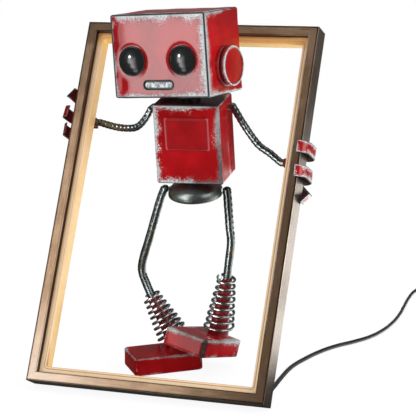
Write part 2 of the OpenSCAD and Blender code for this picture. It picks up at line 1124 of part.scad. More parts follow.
// Along the table from the gland to the coil.
lead_run = [
  [place_x + 114.5, place_y + 37, 4.8],
  [place_x + 114.5, place_y + 48, lead_z],
  [place_x + 114, place_y + 61, lead_z],
  [place_x + 112, place_y + 79, lead_z],
  [place_x + 110, place_y + 100, lead_z],
  [place_x + 108.5, place_y + 121, lead_z],
  [place_x + 109, place_y + 140, lead_z],
  [place_x + 112, place_y + 160, lead_z],
  [place_x + 118, place_y + 188, lead_z],
  [place_x + 129, place_y + 217, lead_z],
  [place_x + 145, place_y + 243, lead_z],
  [place_x + 155, place_y + 264, lead_z],
  [place_x + 161, place_y + 291, lead_z],
  [place_x + 163, place_y + 326, lead_z],
  [place_x + 161, place_y + 361, lead_z],
  [place_x + 156, place_y + 398, lead_z],
  [place_x + 151, place_y + 435, lead_z],
  [place_x + 149, place_y + 468, lead_z],
  [coil_c[0] - outer_turn - 1.5, coil_c[1] - 18, lead_z + 0.6],
  [coil_c[0] - outer_turn, coil_c[1], coil_z + lead_r]
];

// A point between four neighbours, for a smooth curve.
function smooth_pt(a, b, c, d, f) =
  0.5 * ((2 * b) + (c - a) * f + (2 * a - 5 * b + 4 * c - d) * f * f
    + (3 * b - a - 3 * c + d) * f * f * f);

function smooth(p, k) =
  let (n = len(p))
  concat(
    [for (i = [0 : n - 2])
      for (j = [0 : k - 1])
        smooth_pt(p[max(0, i - 1)], p[i], p[i + 1], p[min(n - 1, i + 2)], j / k)],
    [p[n - 1]]
  );

module lead() {
  color("black")
    swept_wire(
      concat([gland_tail, gland_bend, gland_mid], smooth(concat([gland_tip], lead_run), 2)),
      lead_r, 10
    );
}

module lead_coil() {
  color("black")
    translate(coil_c)
      rotate_extrude($fn = 48)
        translate([coil_mid - coil_w / 2, coil_z])
          square([coil_w, coil_h]);
}

tie_t = 1.2;

module coil_tie() {
  color("dimgray")
    translate(coil_c)
      rotate([0, 0, -60])
        translate([coil_mid, 0, coil_z + coil_h / 2])
          difference() {
            cube([coil_w + 2 * tie_t + 1, 8, coil_h + 2 * tie_t + 0.2], center = true);
            cube([coil_w + 1, 9, coil_h + 0.2], center = true);
          }
}

// The switch lies along Y, on the stretch between the coil and the plug.
switch_l = 58;
switch_w = 26;
switch_h = 15;
split_z = 7;
switch_c = [place_x + 242, place_y + 468, 0];
switch_wall = 1.6;
screw_y = 22;

// The plug-in supply lies past the switch, pins away from the lead.
plug_l = 58;
plug_w = 38;
plug_h = 27;
plug_z = 13;
plug_end = [switch_c[0], place_y + 404, 0];
relief_l = 20;

// From the coil round to the switch, through it and on to the plug.
lead_tail_run = [
  [coil_c[0], coil_c[1] + outer_turn, coil_z + lead_r],
  [coil_c[0] + 16, coil_c[1] + outer_turn, lead_z + 0.8],
  [coil_c[0] + 32, coil_c[1] + outer_turn - 1, lead_z + 0.6],
  [coil_c[0] + 47, coil_c[1] + outer_turn - 7, 4],
  [switch_c[0] - 2, coil_c[1] + 10, 5.5],
  [switch_c[0], coil_c[1] - 3, 6.6],
  [switch_c[0], switch_c[1] + switch_l / 2 - 6, split_z],
  [switch_c[0], switch_c[1], split_z],
  [switch_c[0], switch_c[1] - switch_l / 2 + 6, split_z],
  [switch_c[0], switch_c[1] - switch_l / 2 - 5, 7.4],
  [switch_c[0], plug_end[1] + 28, plug_z - 1.6],
  [switch_c[0], plug_end[1] + relief_l, plug_z],
  [switch_c[0], plug_end[1] - 4, plug_z]
];

module switch_shape(l, w, r) {
  round_rect(w, l, r);
}

module lead_holes() {
  translate([0, switch_l / 2 + 1, split_z])
    rotate([90, 0, 0])
      cylinder(h = switch_l + 2, r = lead_r + 0.05);
}

module switch_base() {
  color("black")
    translate(switch_c)
      difference() {
        union() {
          difference() {
            linear_extrude(split_z)
              switch_shape(switch_l, switch_w, 8);
            translate([0, 0, switch_wall])
              linear_extrude(split_z)
                switch_shape(switch_l - 2 * switch_wall, switch_w - 2 * switch_wall, 6.4);
          }
          for (sy = [-1, 1])
            translate([7.5, sy * screw_y, 0])
              cylinder(h = split_z, r = 3.2);
        }
        for (sy = [-1, 1])
          translate([7.5, sy * screw_y, 0]) {
            translate([0, 0, -1])
              cylinder(h = split_z + 2, r = 1.3);
            translate([0, 0, -1])
              cylinder(h = 3, r = 2.5);
          }
        lead_holes();
      }
}

pivot_h = 12.2;
rocker_w = 11;
rocker_l = 20;
rocker_pin_r = 1;

module switch_lid() {
  color("black")
    translate(switch_c)
      difference() {
        union() {
          difference() {
            translate([0, 0, split_z])
              linear_extrude(switch_h - split_z)
                switch_shape(switch_l, switch_w, 8);
            translate([0, 0, split_z - 1])
              linear_extrude(switch_h - switch_wall - split_z + 1)
                switch_shape(switch_l - 2 * switch_wall, switch_w - 2 * switch_wall, 6.4);
          }
          for (sy = [-1, 1])
            translate([7.5, sy * screw_y, split_z])
              cylinder(h = switch_h - split_z - 1, r = 3.2);
          for (sx = [-1, 1])
            translate([sx * (rocker_w / 2 + 0.4 + 1.4), 0, switch_h - 3])
              cube([2.8, 6, 4.8], center = true);
        }
        for (sy = [-1, 1])
          translate([7.5, sy * screw_y, split_z - 1])
            cylinder(h = 6, r = 1.1);
        translate([-rocker_w / 2 - 0.4, -rocker_l / 2 - 0.8, switch_h - 6])
          cube([rocker_w + 0.8, rocker_l + 1.6, 8]);
        translate([-rocker_w / 2 - 4, 0, pivot_h])
          rotate([0, 90, 0])
            cylinder(h = rocker_w + 8, r = rocker_pin_r + 0.02);
        lead_holes();
      }
}

module switch_screws() {
  color("silver")
    translate(switch_c)
      for (sy = [-1, 1])
        translate([7.5, sy * screw_y, 0.4]) {
          cylinder(h = 1.5, r = 2.3);
          translate([0, 0, 1.4])
            cylinder(h = 9, r = 1.08);
        }
}

rocker_tilt = 8;

// The rocker, pressed down at its near end.
module switch_rocker() {
  color("dimgray")
    translate(switch_c + [0, 0, pivot_h])
      rotate([rocker_tilt, 0, 0])
        rotate([90, 0, 90])
          translate([0, 0, -rocker_w / 2])
            linear_extrude(rocker_w)
              difference() {
                polygon([
                  [-rocker_l / 2, 0.4],
                  [-rocker_l / 2, 2.8],
                  [0, 4.2],
                  [rocker_l / 2, 2.8],
                  [rocker_l / 2, 0.4],
                  [3, -2.2],
                  [-3, -2.2]
                ]);
                circle(r = rocker_pin_r + 0.06);
              }
}

module rocker_pin() {
  color("silver")
    translate(switch_c + [-rocker_w / 2 - 3, 0, pivot_h])
      rotate([0, 90, 0])
        cylinder(h = rocker_w + 6, r = rocker_pin_r);
}

module lead_tail() {
  color("black")
    swept_wire(smooth(lead_tail_run, 2), lead_r, 10);
}

module plug_relief() {
  color("black")
    translate([plug_end[0], plug_end[1], plug_z])
      rotate([-90, 0, 0])
        difference() {
          cylinder(h = relief_l, r1 = 5, r2 = 3.1);
          translate([0, 0, -1])
            cylinder(h = relief_l + 2, r = lead_r + 0.05);
        }
}

module plug_half(z0, z1) {
  difference() {
    translate([plug_end[0], plug_end[1] - plug_l / 2, z0])
      linear_extrude(z1 - z0)
        round_rect(plug_w, plug_l, 5);
    translate([plug_end[0], plug_end[1] - plug_l / 2, max(z0, 1.8) - (z0 > 1 ? 1 : 0)])
      linear_extrude(min(z1, plug_h - 1.8) - max(z0, 1.8) + 1)
        round_rect(plug_w - 3.6, plug_l - 3.6, 3.4);
    translate([plug_end[0], plug_end[1] + 1, plug_z])
      rotate([90, 0, 0])
        cylinder(h = 4, r = lead_r + 0.05);
    for (sx = [-1, 1])
      translate([plug_end[0] + sx * 9.5, plug_end[1] - plug_l + 3, plug_z])
        rotate([90, 0, 0])
          cylinder(h = 6, r = 2.02);
  }
}

module plug_body() {
  color("black")
    plug_half(0, plug_z);
}

module plug_cap() {
  color("black")
    plug_half(plug_z, plug_h);
}

module plug_pins() {
  color("silver")
    for (sx = [-1, 1])
      translate([plug_end[0] + sx * 9.5, plug_end[1] - plug_l + 6, plug_z])
        rotate([90, 0, 0]) {
          cylinder(h = 23, r = 2);
          translate([0, 0, 23])
            cylinder(h = 1, r1 = 2, r2 = 1.2);
        }
}

rail_left();
rail_right();
rail_top();
rail_bottom();
corner_keys();
diffuser();
led_strip();
lead_gland();
head_shell();
face_plate();
eye_left();
eye_right();
mouth_plate();
ear_base_left();
ear_base_right();
ear_cap_left();
ear_cap_right();
ear_bolts();
nod_bracket();
nod_pin();
neck_post();
neck_clip();
neck_bush();
torso_shell();
torso_back();
back_screws();
chest_panel();
pelvis();
hip_rod();
arm_left();
arm_right();
palm_left();
palm_right();
finger_left_1();
finger_left_2();
finger_left_3();
finger_right_1();
finger_right_2();
finger_right_3();
leg_right();
leg_left();
ankle_post_right();
ankle_post_left();
spring_right();
spring_left();
shoe_right();
shoe_left();
lead();
lead_tail();
lead_coil();
coil_tie();
switch_base();
switch_lid();
switch_screws();
switch_rocker();
rocker_pin();
plug_relief();
plug_body();
plug_cap();
plug_pins();
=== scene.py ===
import math

import bpy
import numpy as np
from mathutils import Matrix


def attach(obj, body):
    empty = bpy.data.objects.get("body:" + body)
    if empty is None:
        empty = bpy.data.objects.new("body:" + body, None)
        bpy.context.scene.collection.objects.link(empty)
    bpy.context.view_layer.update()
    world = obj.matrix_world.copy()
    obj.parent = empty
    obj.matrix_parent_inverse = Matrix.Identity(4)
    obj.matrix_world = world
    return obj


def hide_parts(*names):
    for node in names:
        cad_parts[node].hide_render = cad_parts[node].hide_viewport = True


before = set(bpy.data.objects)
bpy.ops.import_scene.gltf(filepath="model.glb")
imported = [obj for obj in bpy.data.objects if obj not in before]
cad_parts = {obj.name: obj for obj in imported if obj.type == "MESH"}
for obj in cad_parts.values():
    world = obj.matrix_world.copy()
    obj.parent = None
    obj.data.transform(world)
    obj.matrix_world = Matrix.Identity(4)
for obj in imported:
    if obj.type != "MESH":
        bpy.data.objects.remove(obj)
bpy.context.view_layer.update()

print("model loaded,", len(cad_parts), "nodes")

# Lengths are in millimetres here, and become metres when a mesh is made.
placeX, placeY = 3.76, -82.15
metre = 0.001


view = {
    "place": (744.66, -1694.75, 582.5),
    "right": (0.92523, 0.37851, -0.02600),
    "up": (-0.05701, 0.20646, 0.97679),
    "look": (-0.37509, 0.90228, -0.21261),
    "lens": 155.77,
}


# An object's matrix, from its x, y and z axes and its place in metres.
def poseMatrix(across, rising, back, place):
    whole = np.eye(4)
    whole[:3] = np.stack([across, rising, back, place], 1)
    return Matrix(whole.tolist())


lensData = bpy.data.cameras.new("tableView")
lensData.lens = view["lens"]
lensData.sensor_width = lensData.sensor_height = 36
lensData.clip_start, lensData.clip_end = 0.05, 50
eyePoint = bpy.data.objects.new("tableView", lensData)
eyePoint.matrix_world = poseMatrix(view["right"], view["up"], -np.array(view["look"]),
                                   np.array(view["place"]) * metre)
bpy.context.scene.collection.objects.link(eyePoint)
bpy.context.scene.camera = eyePoint
bpy.context.scene.view_settings.view_transform = "Standard"


# Turns by x first, then y, then z, in degrees, as one matrix.
def turnMatrix(ax, ay, az):
    a, b, c = np.radians([ax, ay, az])
    rx = np.array([[1, 0, 0], [0, np.cos(a), -np.sin(a)], [0, np.sin(a), np.cos(a)]])
    ry = np.array([[np.cos(b), 0, np.sin(b)], [0, 1, 0], [-np.sin(b), 0, np.cos(b)]])
    rz = np.array([[np.cos(c), -np.sin(c), 0], [np.sin(c), np.cos(c), 0], [0, 0, 1]])
    return rz @ ry @ rx


def spotAt(turn, centre):
    return {"turn": turn, "matrix": turnMatrix(*turn), "centre": np.array(centre, float)}


tableSpot = spotAt((0, 0, 0), (0, 0, 0))
headSpot = spotAt((-1.4, -3.4, -7.5), (placeX + 4.3, placeY + 86, 344.9))
torsoSpot = spotAt((6.3, 0, 6.8), (placeX + 11.3, placeY + 110, 251.4))
shoeLeftSpot = spotAt((0, 0, 38.9), (placeX - 26.7, placeY + 96.2, 10))
shoeRightSpot = spotAt((10.4, 14.1, 80.1), (placeX + 18.8, placeY + 98.9, 31.5))
slopeSpot = spotAt((-27.5, 0, 0), (placeX, placeY, 0))
frameDepth = 23
halves = {"head": (56, 35.5, 43), "torso": (36, 26, 43), "shoe": (37.75, 26.6, 10)}


# A point given in a piece's own axes, moved to where the piece is: matrix times point plus centre.
def placed(points, spot):
    return np.asarray(points) @ spot["matrix"].T + spot["centre"]


# The same for the leaning frame, whose axes are across, depth from the face, and up the slope.
def onSlope(points):
    shifted = np.asarray(points, float) - np.array([0, frameDepth, 0])
    return placed(shifted, slopeSpot)


def unit(v):
    return v / np.linalg.norm(v, axis=-1, keepdims=True)


# A smooth curve through the points: each stretch is the cubic that its four neighbours give.
def curveThrough(points, perStretch):
    p = np.asarray(points, float)
    n = len(p)
    i = np.repeat(np.arange(n - 1), perStretch)
    f = np.tile(np.arange(perStretch) / perStretch, n - 1)[:, None]
    a, b = p[np.maximum(i - 1, 0)], p[i]
    c, d = p[i + 1], p[np.minimum(i + 2, n - 1)]
    cubic = 0.5 * (2 * b + (c - a) * f + (2 * a - 5 * b + 4 * c - d) * f**2
                   + (3 * b - a - 3 * c + d) * f**3)
    return np.vstack([cubic, p[-1:]])


# The same line with its points the same step apart.
def evenly(points, step):
    run = np.concatenate([[0], np.cumsum(np.linalg.norm(np.diff(points, axis=0), axis=1))])
    s = np.linspace(0, run[-1], max(2, int(round(run[-1] / step)) + 1))
    return np.stack([np.interp(s, run, points[:, k]) for k in range(3)], axis=1), s


# One socket's value; sums and products on it add their Math nodes.
class Wire:
    def __init__(self, kit, socket):
        self.kit = kit
        self.socket = socket

    def maths(self, operation, first, second=None):
        values = {0: first} if second is None else {0: first, 1: second}
        return self.kit.node("ShaderNodeMath", {"operation": operation}, values)

    def __add__(self, other):
        return self.maths("ADD", self, other)

    def __radd__(self, other):
        return self.maths("ADD", other, self)

    def __sub__(self, other):
        return self.maths("SUBTRACT", self, other)

    def __rsub__(self, other):
        return self.maths("SUBTRACT", other, self)

    def __mul__(self, other):
        return self.maths("MULTIPLY", self, other)

    def __rmul__(self, other):
        return self.maths("MULTIPLY", other, self)

    def __truediv__(self, other):
        return self.maths("DIVIDE", self, other)

    def __pow__(self, other):
        return self.maths("POWER", self, other)

    def __abs__(self):
        return self.maths("ABSOLUTE", self)

    def least(self, other):
        return self.maths("MINIMUM", self, other)

    def most(self, other):
        return self.maths("MAXIMUM", self, other)

    def sine(self):
        return self.maths("SINE", self)

    # 0 at the first value and 1 at the second, with soft ends
    def between(self, first, second):
        return self.kit.node("ShaderNodeMapRange", {"interpolation_type": "SMOOTHSTEP"},
                             {0: self, 1: first, 2: second, 3: 0.0, 4: 1.0})


# Puts nodes into a tree; each comes back as the Wire from one of its outputs.
class NodeKit:
    def __init__(self, tree):
        self.tree = tree

    def join(self, value, socket):
        if isinstance(value, Wire):
            self.tree.links.new(value.socket, socket)
        else:
            socket.default_value = value

    # any node: its type, its settings, and the values or links of its sockets
    def node(self, kind, settings=None, values=None, out=0):
        made = self.tree.nodes.new(kind)
        for key, value in (settings or {}).items():
            setattr(made, key, value)
        for key, value in (values or {}).items():
            self.join(value, made.inputs[key])
        return Wire(self, made.outputs[out])

    # several outputs of one node, by name or number
    def outputs(self, wire, names):
        return [Wire(self, wire.socket.node.outputs[name]) for name in names]

    def split(self, vector):
        return self.outputs(self.node("ShaderNodeSeparateXYZ", {}, {0: vector}), range(3))

    def rays(self, *kinds):
        return self.outputs(self.node("ShaderNodeLightPath"), ["Is %s Ray" % kind for kind in kinds])


# A material, with the Principled shader that it ends in.
class Finish(NodeKit):
    def __init__(self, name):
        self.material = bpy.data.materials.new(name)
        self.material.use_nodes = True
        super().__init__(self.material.node_tree)
        self.shader = self.tree.nodes["Principled BSDF"]

    def mix(self, factor, first, second):
        return self.node("ShaderNodeMix", {"data_type": "RGBA"}, {0: factor, 6: first, 7: second}, 2)

    def noise(self, vector, scale, detail=3.0, roughness=0.55):
        return self.node("ShaderNodeTexNoise", {}, {
            "Vector": vector, "Scale": scale, "Detail": detail, "Roughness": roughness})

    # a spot's own axes in millimetres
    def ownAxes(self, spot):
        where = self.node("ShaderNodeTexCoord", out="Object")
        return self.node("ShaderNodeMapping", {"vector_type": "TEXTURE"}, {
            "Vector": where, "Location": tuple(spot["centre"] * metre),
            "Rotation": tuple(np.radians(spot["turn"])), "Scale": (metre,) * 3})

    def tableAxes(self):
        return self.ownAxes(tableSpot)

    def mark(self, name):
        return self.node("ShaderNodeAttribute", {"attribute_name": name}, out="Fac")

    def bump(self, height, strength, distance):
        return self.node("ShaderNodeBump", {}, {
            "Height": height, "Strength": strength, "Distance": distance * metre})

    def paint(self, values):
        for key, value in values.items():
            self.join(value, self.shader.inputs[key])
        return self.material


def rgb(r, g, b):
    return (r, g, b, 1.0)


redPaint = {
    "bright": (0.50, 0.006, 0.010),
    "deep": (0.30, 0.002, 0.004),
    # a painted highlight, pale pink, for the crest of a ridge
    "paintedHighlight": rgb(0.66, 0.13, 0.15),
    "bareLight": rgb(0.74, 0.82, 0.83),
    "bareDark": rgb(0.10, 0.145, 0.155),
    # the dark edge's colour, also used for painted shade
    "rim": rgb(0.012, 0.028, 0.030),
}
# What a worn red may change. Noise sizes are per millimetre, and the four numbers after sharp are
# painted shade and a level: how bare steel lightens along x, y and z, and how light it is. The others
# have no usual value: reach is how far the wear comes in, tone how light the red is, rim where the dark
# edge starts and ends, in millimetres.
wornLook = {
    "patchSize": 0.045, "grainSize": 1.0, "sharp": 1.0, "paintedShadeAndLevel": (0, 0, 0, 0.0),
    "gloss": 0.4, "coat": 0.4, "rough": 0.16, "crestHighlight": 0.0,
}


# Red gloss over steel. The paint is gone where a grain pattern lies under a chance that is 1.18 at
# the edge and falls with the distance over the reach, which a patch pattern stretches. The very edge
# is dark, and the painted-shade mark adds painted shade in the same dark colour; the crest mark lays
# on a painted highlight, a pale pink, and bare steel gets painted shade along x, y and z.
def wornPaint(kit, own, edge, look, bias=0.0, fall=0.0):
    look = {**wornLook, **look}
    patch = kit.noise(own, look["patchSize"], 2.0) + bias
    grain = kit.noise(own, look["grainSize"], 4.0, 0.8)
    fine = kit.noise(own, 1.7, 3.0, 0.6)
    cloud = kit.noise(own, 0.022, 3.0)
    chance = 1.18 - edge / ((patch * 2.0 - 0.35).most(0.22) * look["reach"])
    bare = (chance - ((grain - 0.5) * 5.0 + 0.5)).between(-0.26 * look["sharp"], 0.30 * look["sharp"])
    rimStart, rimEnd = look["rim"]
    # the dark edge line, and painted shade where the painted-shade mark is
    rim = (edge + (grain - 0.5) * 0.9).between(rimEnd, rimStart).most(kit.mark("paintedShade"))
    deep, bright = (rgb(*(c * look["tone"] for c in redPaint[key])) for key in ("deep", "bright"))
    red = kit.mix(cloud.between(0.3, 0.7), deep, bright)
    # a painted highlight where the crest mark is
    if look["crestHighlight"]:
        red = kit.mix(kit.mark("crestHighlight") * look["crestHighlight"], red, redPaint["paintedHighlight"])
    # the slope is painted shade on bare steel, lighter or darker along x, y and z; the level is its tone
    *slope, level = look["paintedShadeAndLevel"]
    lit = fine * 0.5 + grain * 0.3 + (patch - bias) * 0.35 - 0.06 + level
    for along, rise in zip(kit.split(own), slope):
        lit = lit + along * rise
    steel = kit.mix(lit.between(0.40, 0.62), redPaint["bareDark"], redPaint["bareLight"])
    height = (1 - bare) * 0.6 + grain * 0.25 + cloud * 1.5 - fall
    return kit.paint({
        "Base Color": kit.mix(rim * 0.94, kit.mix(bare, red, steel), redPaint["rim"]),
        "Metallic": bare * 0.30,
        "Roughness": bare * 0.24 + fine * 0.10 + look["rough"],
        "Specular IOR Level": look["gloss"],
        "Coat Weight": (1 - bare) * (1 - rim) * look["coat"],
        "Coat Roughness": 0.06,
        "Normal": kit.bump(height, 0.30, 0.35),
    })


# A box's worn red. How far a point is from the nearest edge is the middle one of its distances to
# the three pairs of faces. quietSides lessens the wear on the left and right faces, bias shifts it
# along x, y and z, and fall, given as width and depth, tips the light over the left border.
def wornBox(name, spot, half, look):
    kit = Finish(name)
    own = kit.ownAxes(spot)
    x, y, z = kit.split(own)
    gapX, gapY, gapZ = half[0] - abs(x), half[1] - abs(y), half[2] - abs(z)
    edge = gapX.least(gapY).most(gapX.most(gapY).least(gapZ))
    if "quietSides" in look:
        edge = edge / (gapX.between(0.0, 1.6) * (1 - look["quietSides"]) + look["quietSides"])
    px, py, pz = look.get("bias", (0, 0, 0))
    bias = x * (px / half[0]) + y * (py / half[1]) + z * (pz / half[2])
    fall = 0.0
    if "fall" in look:
        wide, deep = look["fall"]
        near = (1 - (x + half[0]) / wide).most(0)
        fall = near * near * deep
    return wornPaint(kit, own, edge, look, bias, fall)


# A strip's or disc's worn red: its edge mark holds the distance to the nearest edge.
def wornByMark(name, look):
    kit = Finish(name)
    return wornPaint(kit, kit.tableAxes(), kit.mark("edge"), look)


def darkRedPaint():
    kit = Finish("darkRed")
    own = kit.tableAxes()
    grain = kit.noise(own, 0.5, 5.0, 0.7)
    cloud = kit.noise(own, 0.07, 3.0)
    chipped = (grain + cloud * 0.3).between(0.80, 0.88)
    red = kit.mix(cloud.between(0.3, 0.7), rgb(0.16, 0.004, 0.006), rgb(0.34, 0.010, 0.014))
    return kit.paint({
        "Base Color": kit.mix(chipped, red, rgb(0.35, 0.38, 0.39)),
        "Roughness": grain * 0.2 + 0.26,
        "Metallic": chipped * 0.6,
        "Coat Weight": (1 - chipped) * 0.3,
        "Coat Roughness": 0.12,
        "Normal": kit.bump(grain, 0.2, 0.3),
    })


bronzeTones = {
    "dark": rgb(0.19, 0.112, 0.060),
    "light": rgb(0.42, 0.275, 0.17),
    "pit": rgb(0.09, 0.048, 0.026),
    # the next two are a painted sheen and a painted shade
    "pale": rgb(0.46, 0.38, 0.32),
    "smoked": rgb(0.075, 0.040, 0.020),
    "outerDark": rgb(0.15, 0.115, 0.09),
    "outerLight": rgb(0.31, 0.26, 0.22),
    "rubbed": rgb(0.80, 0.70, 0.60),
    "paintedShade": rgb(0.010, 0.006, 0.004),
}


# Antique bronze lacquer over steel, brushed along the rail and rubbed light on its edges, where a
# painted highlight lies too. A painted sheen makes it paler low on the left; painted shade makes it
# darker low on the right, at the top left and where the painted-shade mark is. The outer walls are greyer.
def bronzeRail():
    kit = Finish("bronze")
    tones = bronzeTones
    along = kit.node("ShaderNodeCombineXYZ", {}, {0: kit.mark("run") * 0.05, 1: kit.mark("round") * 0.9})
    streak = kit.noise(along, 1.0, 5.0, 0.65)
    own = kit.tableAxes()
    x, z = kit.split(own)[::2]
    cloud = kit.noise(own, 0.028, 4.0, 0.6)
    grain = kit.noise(own, 0.55, 5.0, 0.7)
    rubAndHighlight, paintedShade, outer = kit.mark("rubAndHighlight"), kit.mark("paintedShade"), kit.mark("outer")
    light = (rubAndHighlight * 1.25 + (grain - 0.5) * 1.6 + (cloud - 0.5) * 0.7).between(0.62, 1.05)
    tone = (streak * 0.7 + cloud * 0.5).between(0.38, 0.82)
    base = kit.mix(tone, tones["dark"], tones["light"])
    base = kit.mix(grain.between(0.60, 0.72) * 0.45, base, tones["pit"])
    # painted sheen, low on the left
    lowLeft = x.between(20, -125) * z.between(110, 10)
    base = kit.mix(lowLeft * 0.55, base, tones["pale"])
    # painted shade, low on the right and at the top left
    lowRight = x.between(40, 125) * z.between(320, 230)
    topLeft = x.between(-40, -90) * z.between(338, 348)
    base = kit.mix(lowRight * 0.70 + topLeft * 0.6, base, tones["smoked"])
    base = kit.mix(outer * 0.8, base, kit.mix(tone, tones["outerDark"], tones["outerLight"]))
    colour = kit.mix(light, base, tones["rubbed"])
    return kit.paint({
        "Base Color": kit.mix(paintedShade, colour, tones["paintedShade"]),
        "Metallic": 0.85,
        "Roughness": streak * 0.16 + grain * 0.10 + 0.19,
        "Coat Weight": (1 - paintedShade) * 0.14,
        "Coat Roughness": 0.24,
        "Normal": kit.bump(streak * 0.8 + grain * 0.6, 0.28, 0.25),
    })


# Dark varnished steel rod, with the ribs rubbed bright but on the right leg's top, which is darker.
def ribbedSteel():
    kit = Finish("ribbedSteel")
    own = kit.tableAxes()
    grain = kit.noise(own, 0.55, 3.0, 0.55)
    cloud = kit.noise(own, 0.06, 3.0)
    rib = kit.mark("rib")
    rubbed = (rib * 0.85 + (grain - 0.5) * 0.8 + (cloud - 0.5) * 0.7).between(0.36, 1.0)
    x, z = kit.split(own)[::2]
    darkLegTop = x.between(30, 36) * z.between(150, 178) * z.between(215, 205)
    rubbed = rubbed * (1 - darkLegTop * 0.85)
    rust = cloud.between(0.52, 0.66) * grain.between(0.35, 0.6)
    dark = kit.mix(grain.between(0.3, 0.7), rgb(0.075, 0.09, 0.09), rgb(0.21, 0.25, 0.255))
    dark = kit.mix(rust * 0.6, dark, rgb(0.26, 0.18, 0.09))
    dark = kit.mix(darkLegTop * 0.7, dark, rgb(0.030, 0.034, 0.032))
    return kit.paint({
        "Base Color": kit.mix(rubbed, dark, rgb(0.70, 0.77, 0.78)),
        "Metallic": 0.9,
        "Roughness": grain * 0.14 + 0.17,
        "Coat Weight": (1 - rubbed) * 0.25,
        "Coat Roughness": 0.12,
        "Normal": kit.bump(grain, 0.07, 0.2),
    })


def springSteel():
    kit = Finish("springSteel")
    own = kit.tableAxes()
    grain = kit.noise(own, 0.9, 4.0, 0.6)
    cloud = kit.noise(own, 0.12, 2.0)
    base = kit.mix(cloud.between(0.35, 0.65), rgb(0.24, 0.27, 0.275), rgb(0.60, 0.64, 0.65))
    return kit.paint({
        "Base Color": kit.mix(grain.between(0.6, 0.75) * 0.7, base, rgb(0.09, 0.06, 0.045)),
        "Metallic": 0.95,
        "Roughness": grain * 0.2 + 0.15,
        "Normal": kit.bump(grain, 0.15, 0.2),
    })


def darkSteel(name, low, high, rough):
    kit = Finish(name)
    own = kit.tableAxes()
    grain = kit.noise(own, 0.7, 5.0, 0.65)
    cloud = kit.noise(own, 0.045, 3.0)
    return kit.paint({
        "Base Color": kit.mix(cloud.between(0.3, 0.7), low, high),
        "Metallic": 0.9,
        "Roughness": grain * 0.16 + rough,
        "Coat Weight": 0.3 + grain * 0.1,
        "Coat Roughness": 0.12,
        "Normal": kit.bump(grain + cloud * 1.5, 0.2, 0.3),
    })


# Brushed metal between two tones; spread is how much the grain adds to its roughness.
def brushedMetal(name, low, high, rough, spread=0.15, grainSize=1.2, relief=0.12):
    kit = Finish(name)
    grain = kit.noise(kit.tableAxes(), grainSize, 4.0, 0.6)
    return kit.paint({
        "Base Color": kit.mix(grain, low, high),
        "Metallic": 0.95,
        "Roughness": grain * spread + rough,
        "Normal": kit.bump(grain, relief, 0.15),
    })


# Pressed plate behind the mouth: bright flecks on grey, with painted shade towards the slot's border,
# which is half the slot's height from its middle line.
def mouthSteel():
    kit = Finish("mouthSteel")
    own = kit.ownAxes(headSpot)
    x, z = kit.split(own)[::2]
    beyond = (abs(x + 2.5) - 13.3).most(0)
    inside = 3.4 - (beyond * beyond + (z + 29.6) * (z + 29.6)) ** 0.5
    fleck = kit.noise(own, 0.9, 4.0, 0.75)
    wide = kit.noise(own, 0.3, 2.0)
    bright = (fleck + (wide - 0.5) * 0.5).between(0.42, 0.60)
    border = (inside + (fleck - 0.5) * 1.2).between(1.1, 0.3)
    steel = kit.mix(bright, rgb(0.20, 0.25, 0.26), rgb(0.88, 0.93, 0.94))
    return kit.paint({
        "Base Color": kit.mix(border, steel, rgb(0.01, 0.02, 0.02)),
        "Metallic": 0.35,
        "Roughness": fleck * 0.3 + 0.25,
        "Normal": kit.bump(fleck, 0.4, 0.4),
    })


# the wall tones and the glows are painted light, the line colours painted shade
opalTones = {
    "face": (rgb(0.82, 0.60, 0.37), rgb(0.90, 0.68, 0.44)),
    "faceTop": rgb(0.80, 0.41, 0.10),
    "faceLine": rgb(0.30, 0.12, 0.05),
    "wall": (rgb(0.82, 0.56, 0.24), rgb(0.92, 0.68, 0.36)),
    "wallTop": rgb(0.95, 0.64, 0.20),
    "wallLine": rgb(0.40, 0.18, 0.06),
    "glow": (rgb(0.60, 0.38, 0.20), rgb(0.75, 0.45, 0.14)),
    "lineGlow": rgb(0.16, 0.06, 0.02),
}


# Opal acrylic, deeper yellow at the top. The inward mark is 0 on the face that looks forward and 1
# on the wall round the opening, whose more saturated colour is painted light; both have faint stripes,
# and dark lines of painted shade where the line mark is. The emission is painted light as well: the
# strip is unlit, and its glow stands in for the light it gives back.
def opalDiffuser():
    kit = Finish("opal")
    tones = opalTones
    own = kit.ownAxes(slopeSpot)
    x, y, z = kit.split(own)
    patch = kit.noise(own, 0.02, 3.0).between(0.3, 0.7)
    fine = kit.noise(own, 0.9, 3.0)
    inward, line = kit.mark("inward"), kit.mark("line")
    rods = kit.node("ShaderNodeCombineXYZ", {}, {0: x * 0.5, 1: y * 0.5, 2: z * 0.02})
    stripes = (kit.noise(rods, 1.0, 3.0) - 0.5).most(0)
    shade = line * 0.85 + stripes * 0.5
    face = kit.mix(z.between(372, 384), kit.mix(patch, *tones["face"]), tones["faceTop"])
    face = kit.mix(shade, face, tones["faceLine"])
    wall = kit.mix(z.between(360, 380), kit.mix(patch, *tones["wall"]), tones["wallTop"])
    wall = kit.mix(stripes * 0.6 + line * 0.8, wall, tones["wallLine"])
    return kit.paint({
        "Base Color": kit.mix(inward, face, wall),
        "Roughness": fine * 0.1 + 0.38,
        "Emission Color": kit.mix(shade, kit.mix(inward, *tones["glow"]), tones["lineGlow"]),
        "Emission Strength": 0.26,
        "Normal": kit.bump(fine, 0.05, 0.1),
    })


